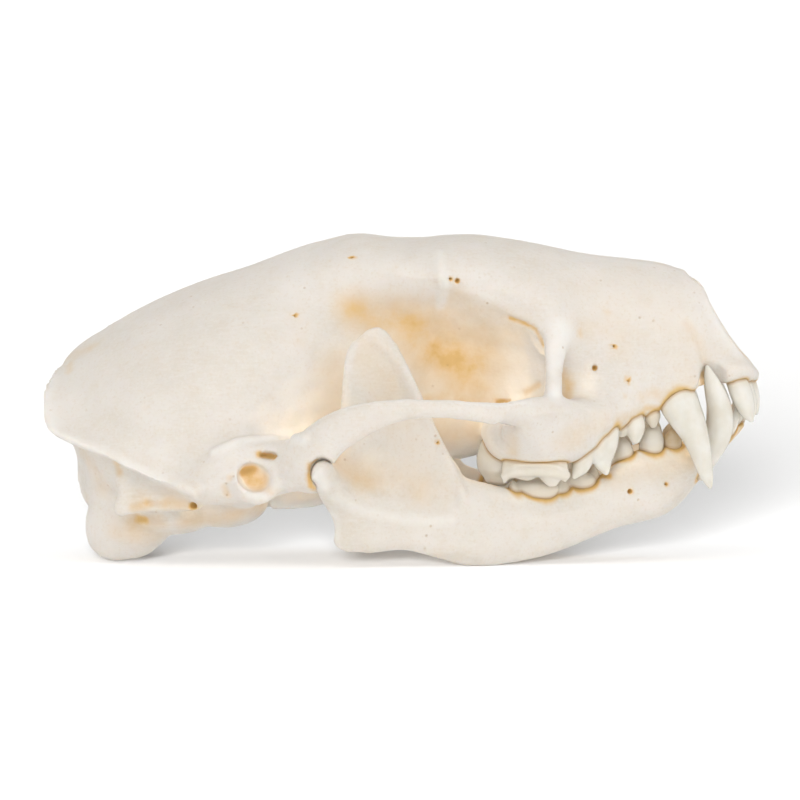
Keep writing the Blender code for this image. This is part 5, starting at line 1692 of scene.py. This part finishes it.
def make_bone(name, cream, pale, ochre, painted_bounce_light, stain_and_shade):
    material, tree, shader = new_material(name)
    where = place_in(tree)
    hollow, stain_and_painted_light = stored(tree, "hollow"), stored(tree, "stain_and_painted_light")
    clouds = noise(tree, where, 130.0, 4.0, 0.55)
    patches = noise(tree, where, 420.0, 4.0, 0.6)
    grain = noise(tree, where, 2600.0, 3.0, 0.6)
    fibres = noise(tree, drawn_out(tree, where, (700.0, 2600.0, 4200.0)), 1.0, 3.0, 0.6)
    specks = noise(tree, where, 3600.0, 2.0, 0.5)

    # Tones of clean bone.
    colour = mix(tree, stretch(tree, clouds, 0.35, 0.65), cream, pale)
    colour = mix(tree, stretch(tree, patches, 0.5, 0.75, 0.0, 0.35), colour, ochre)
    colour = mix(tree, stretch(tree, fibres, 0.42, 0.68, 0.0, 0.5), colour, pale)
    colour = mix(tree, stretch(tree, specks, 0.56, 0.70, 0.0, 0.5), colour, pale)
    colour = mix(tree, stretch(tree, specks, 0.44, 0.30, 0.0, 0.35), colour, ochre)
    # Painted bounce light: sheltered places are painted a lighter, warmer cream, for light that
    # bounces inside them and shines through thin bone.
    colour = mix(tree, stretch(tree, hollow, 0.16, 0.6), colour, painted_bounce_light)

    # Stains and painted shade, darker, and painted highlights, paler, broken up by the patches.
    stain_and_painted_light = times(tree, stain_and_painted_light, stretch(tree, patches, 0.3, 0.7, 0.7, 1.3))
    colour = mix(tree, stretch(tree, stain_and_painted_light, 0.0, -0.6), colour, PAINTED_HIGHLIGHT)
    colour = mix(tree, stretch(tree, stain_and_painted_light, 0.0, 0.5), colour, stain_and_shade)
    colour = mix(tree, stretch(tree, stain_and_painted_light, 0.45, 1.0, 0.0, 0.8), colour, BROWN)

    # A few dark pits, in loose groups.
    cells = node(tree, "ShaderNodeTexVoronoi", {
        "Vector": where, "Scale": 900.0, "Randomness": 1.0})
    in_groups = stretch(tree, noise(tree, where, 260.0, 2.0), 0.56, 0.64)
    pits = times(tree, stretch(tree, cells.outputs["Distance"], 0.06, 0.16, 1.0, 0.0), in_groups)
    colour = mix(tree, stretch(tree, pits, 0.0, 1.0, 0.0, 0.45), colour, IN_PITS)

    fill(tree, shader, {
        "Base Color": colour,
        # Painted glow in sheltered places alone, for light shining through thin bone.
        "Emission Color": mix(tree, stretch(tree, hollow, 0.15, 0.65), UNLIT, colour),
        "Emission Strength": LIGHT_THROUGH_BONE,
        "Roughness": stretch(tree, patches, 0.3, 0.7, 0.46, 0.62),
        "Normal": bumps(tree, [
            (clouds, 0.25, 0.6 * MM),
            (patches, 0.45, 0.22 * MM),
            (fibres, 0.30, 0.04 * MM),
            (grain, 0.40, 0.04 * MM),
            (stretch(tree, pits, 0.0, 1.0, 1.0, 0.0), 0.5, 0.08 * MM),
        ]),
        "Specular IOR Level": 0.4,
        "Subsurface Weight": 0.25,
        "Subsurface Radius": (1.0, 0.62, 0.35),
        "Subsurface Scale": 1.2 * MM,
    })
    return material


bone = make_bone(
    "bleached_bone", cream=(0.62, 0.575, 0.515, 1.0), pale=(0.67, 0.63, 0.585, 1.0),
    ochre=(0.60, 0.51, 0.40, 1.0), painted_bounce_light=(0.94, 0.84, 0.70, 1.0),
    stain_and_shade=(0.64, 0.42, 0.17, 1.0),
)
jaw_bone = make_bone(
    "jaw_bone", cream=(0.61, 0.565, 0.50, 1.0), pale=(0.66, 0.62, 0.57, 1.0),
    ochre=(0.59, 0.50, 0.39, 1.0), painted_bounce_light=(0.82, 0.72, 0.58, 1.0),
    stain_and_shade=(0.62, 0.39, 0.14, 1.0),
)
print("bone materials:", bone.name, jaw_bone.name)

# %% [markdown]
# ## Enamel
#
# Tooth enamel is harder, whiter and glossier than bone, and slightly glassy. It is
# yellower near the gum line, where it thins over the dentine and where stain collects. The
# distance from each tooth's surface to the bone is stored as an attribute, so the stain
# follows the gum line whatever the tooth's shape. Some cheek teeth are worn and brown all
# over, so each tooth also stores how worn it is.

# %% Measure the gum line
GUM_REACH = 1.2 * MM
# How deeply a whole tooth is stained, where it isn't only at the gum.
WORN = {
    ("upper", "molar_1"): 0.12, ("lower", "molar_1"): 0.2, ("lower", "molar_2"): 0.6,
    ("upper", "premolar_2"): 0.25, ("lower", "premolar_2"): 0.7, ("lower", "premolar_3"): 0.12,
    ("lower", "premolar_4"): 0.15,
}
homes = {"upper": (skull, skull), "lower": (jaw_left, jaw_right)}


def near_bone(tooth, home):
    """1 where a tooth touches its bone, falling to 0 at the gum's reach from it."""
    tree = surface_of(home)
    values = []
    for vertex in tooth.data.vertices:
        gap = tree.find_nearest(vertex.co, GUM_REACH)[3]
        values.append(0.0 if gap is None else 1.0 - gap / GUM_REACH)
    return values


for (row, kind, side), tooth in teeth.items():
    store(tooth, "worn", np.full(len(tooth.data.vertices), WORN.get((row, kind), 0.0)))
    store(tooth, "gum", near_bone(tooth, homes[row][side == "right"]))
print(len(WORN), "kinds of teeth are worn")

# %% Make the enamel
CREAMY, WHITER = (0.63, 0.60, 0.525, 1.0), (0.68, 0.66, 0.61, 1.0)
STREAKED, WORN_BROWN = (0.64, 0.58, 0.47, 1.0), (0.50, 0.35, 0.17, 1.0)
NEAR_GUM, AT_GUM = (0.62, 0.50, 0.34, 1.0), (0.45, 0.27, 0.11, 1.0)

enamel, tree, shader = new_material("enamel")
where = place_in(tree)
gum, worn = stored(tree, "gum"), stored(tree, "worn")
clouds = noise(tree, where, 500.0, 3.0)
streaks = noise(tree, drawn_out(tree, where, (2600.0, 2600.0, 260.0)), 1.0, 3.0)
patchy = times(tree, worn, stretch(tree, clouds, 0.3, 0.7, 0.5, 1.5))
colour = mix(tree, stretch(tree, clouds, 0.35, 0.65), CREAMY, WHITER)
colour = mix(tree, stretch(tree, streaks, 0.55, 0.75, 0.0, 0.25), colour, STREAKED)
colour = mix(tree, stretch(tree, patchy, 0.0, 1.0), colour, WORN_BROWN)
colour = mix(tree, stretch(tree, gum, 0.2, 1.0, 0.0, 0.30), colour, NEAR_GUM)
colour = mix(tree, stretch(tree, gum, 0.72, 1.0, 0.0, 0.8), colour, AT_GUM)
fill(tree, shader, {
    "Base Color": colour,
    "Roughness": stretch(tree, clouds, 0.3, 0.7, 0.13, 0.24),
    "Normal": bumps(tree, [(clouds, 0.2, 0.1 * MM), (streaks, 0.2, 0.02 * MM)]),
    "Subsurface Weight": 0.4,
    "Subsurface Radius": (1.0, 0.8, 0.6),
    "Subsurface Scale": 0.8 * MM,
})
print("enamel on", len(teeth), "teeth")

# %% [markdown]
# ## Table top finish
#
# The table is matt card with a trace of grain. It is a light grey, which the table's own
# lamp lights up to the white of the photograph, so that the skull's soft shadow stays grey.

# %% Make the card
GREYER, LIGHTER = (0.58, 0.58, 0.58, 1.0), (0.61, 0.61, 0.61, 1.0)

card, tree, shader = new_material("white_card")
fibre = noise(tree, place_in(tree), 900.0, 4.0)
fill(tree, shader, {
    "Base Color": mix(tree, fibre, GREYER, LIGHTER),
    "Roughness": stretch(tree, fibre, 0.3, 0.7, 0.85, 1.0),
    "Specular IOR Level": 0.1,
})
table.data.materials.append(card)
print("card on the table")

# %% [markdown]
# ## Hand over
#
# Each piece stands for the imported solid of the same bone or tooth, so the solid is hidden
# and the piece rides on the skull's one body.

# %% Give each piece its solid, body and finish
def hand_over(piece, solid, material):
    piece.data.materials.clear()
    piece.data.materials.append(material)
    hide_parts(solid)
    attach(piece, "root")


hand_over(skull, "cranium", bone)
hand_over(jaw_left, "mandible_left", jaw_bone)
hand_over(jaw_right, "mandible_right", jaw_bone)
for (row, kind, side), tooth in teeth.items():
    hand_over(tooth, f"{row}_{kind}_{side}", enamel)
print(len(pieces), "pieces stand for", len(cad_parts), "solids")
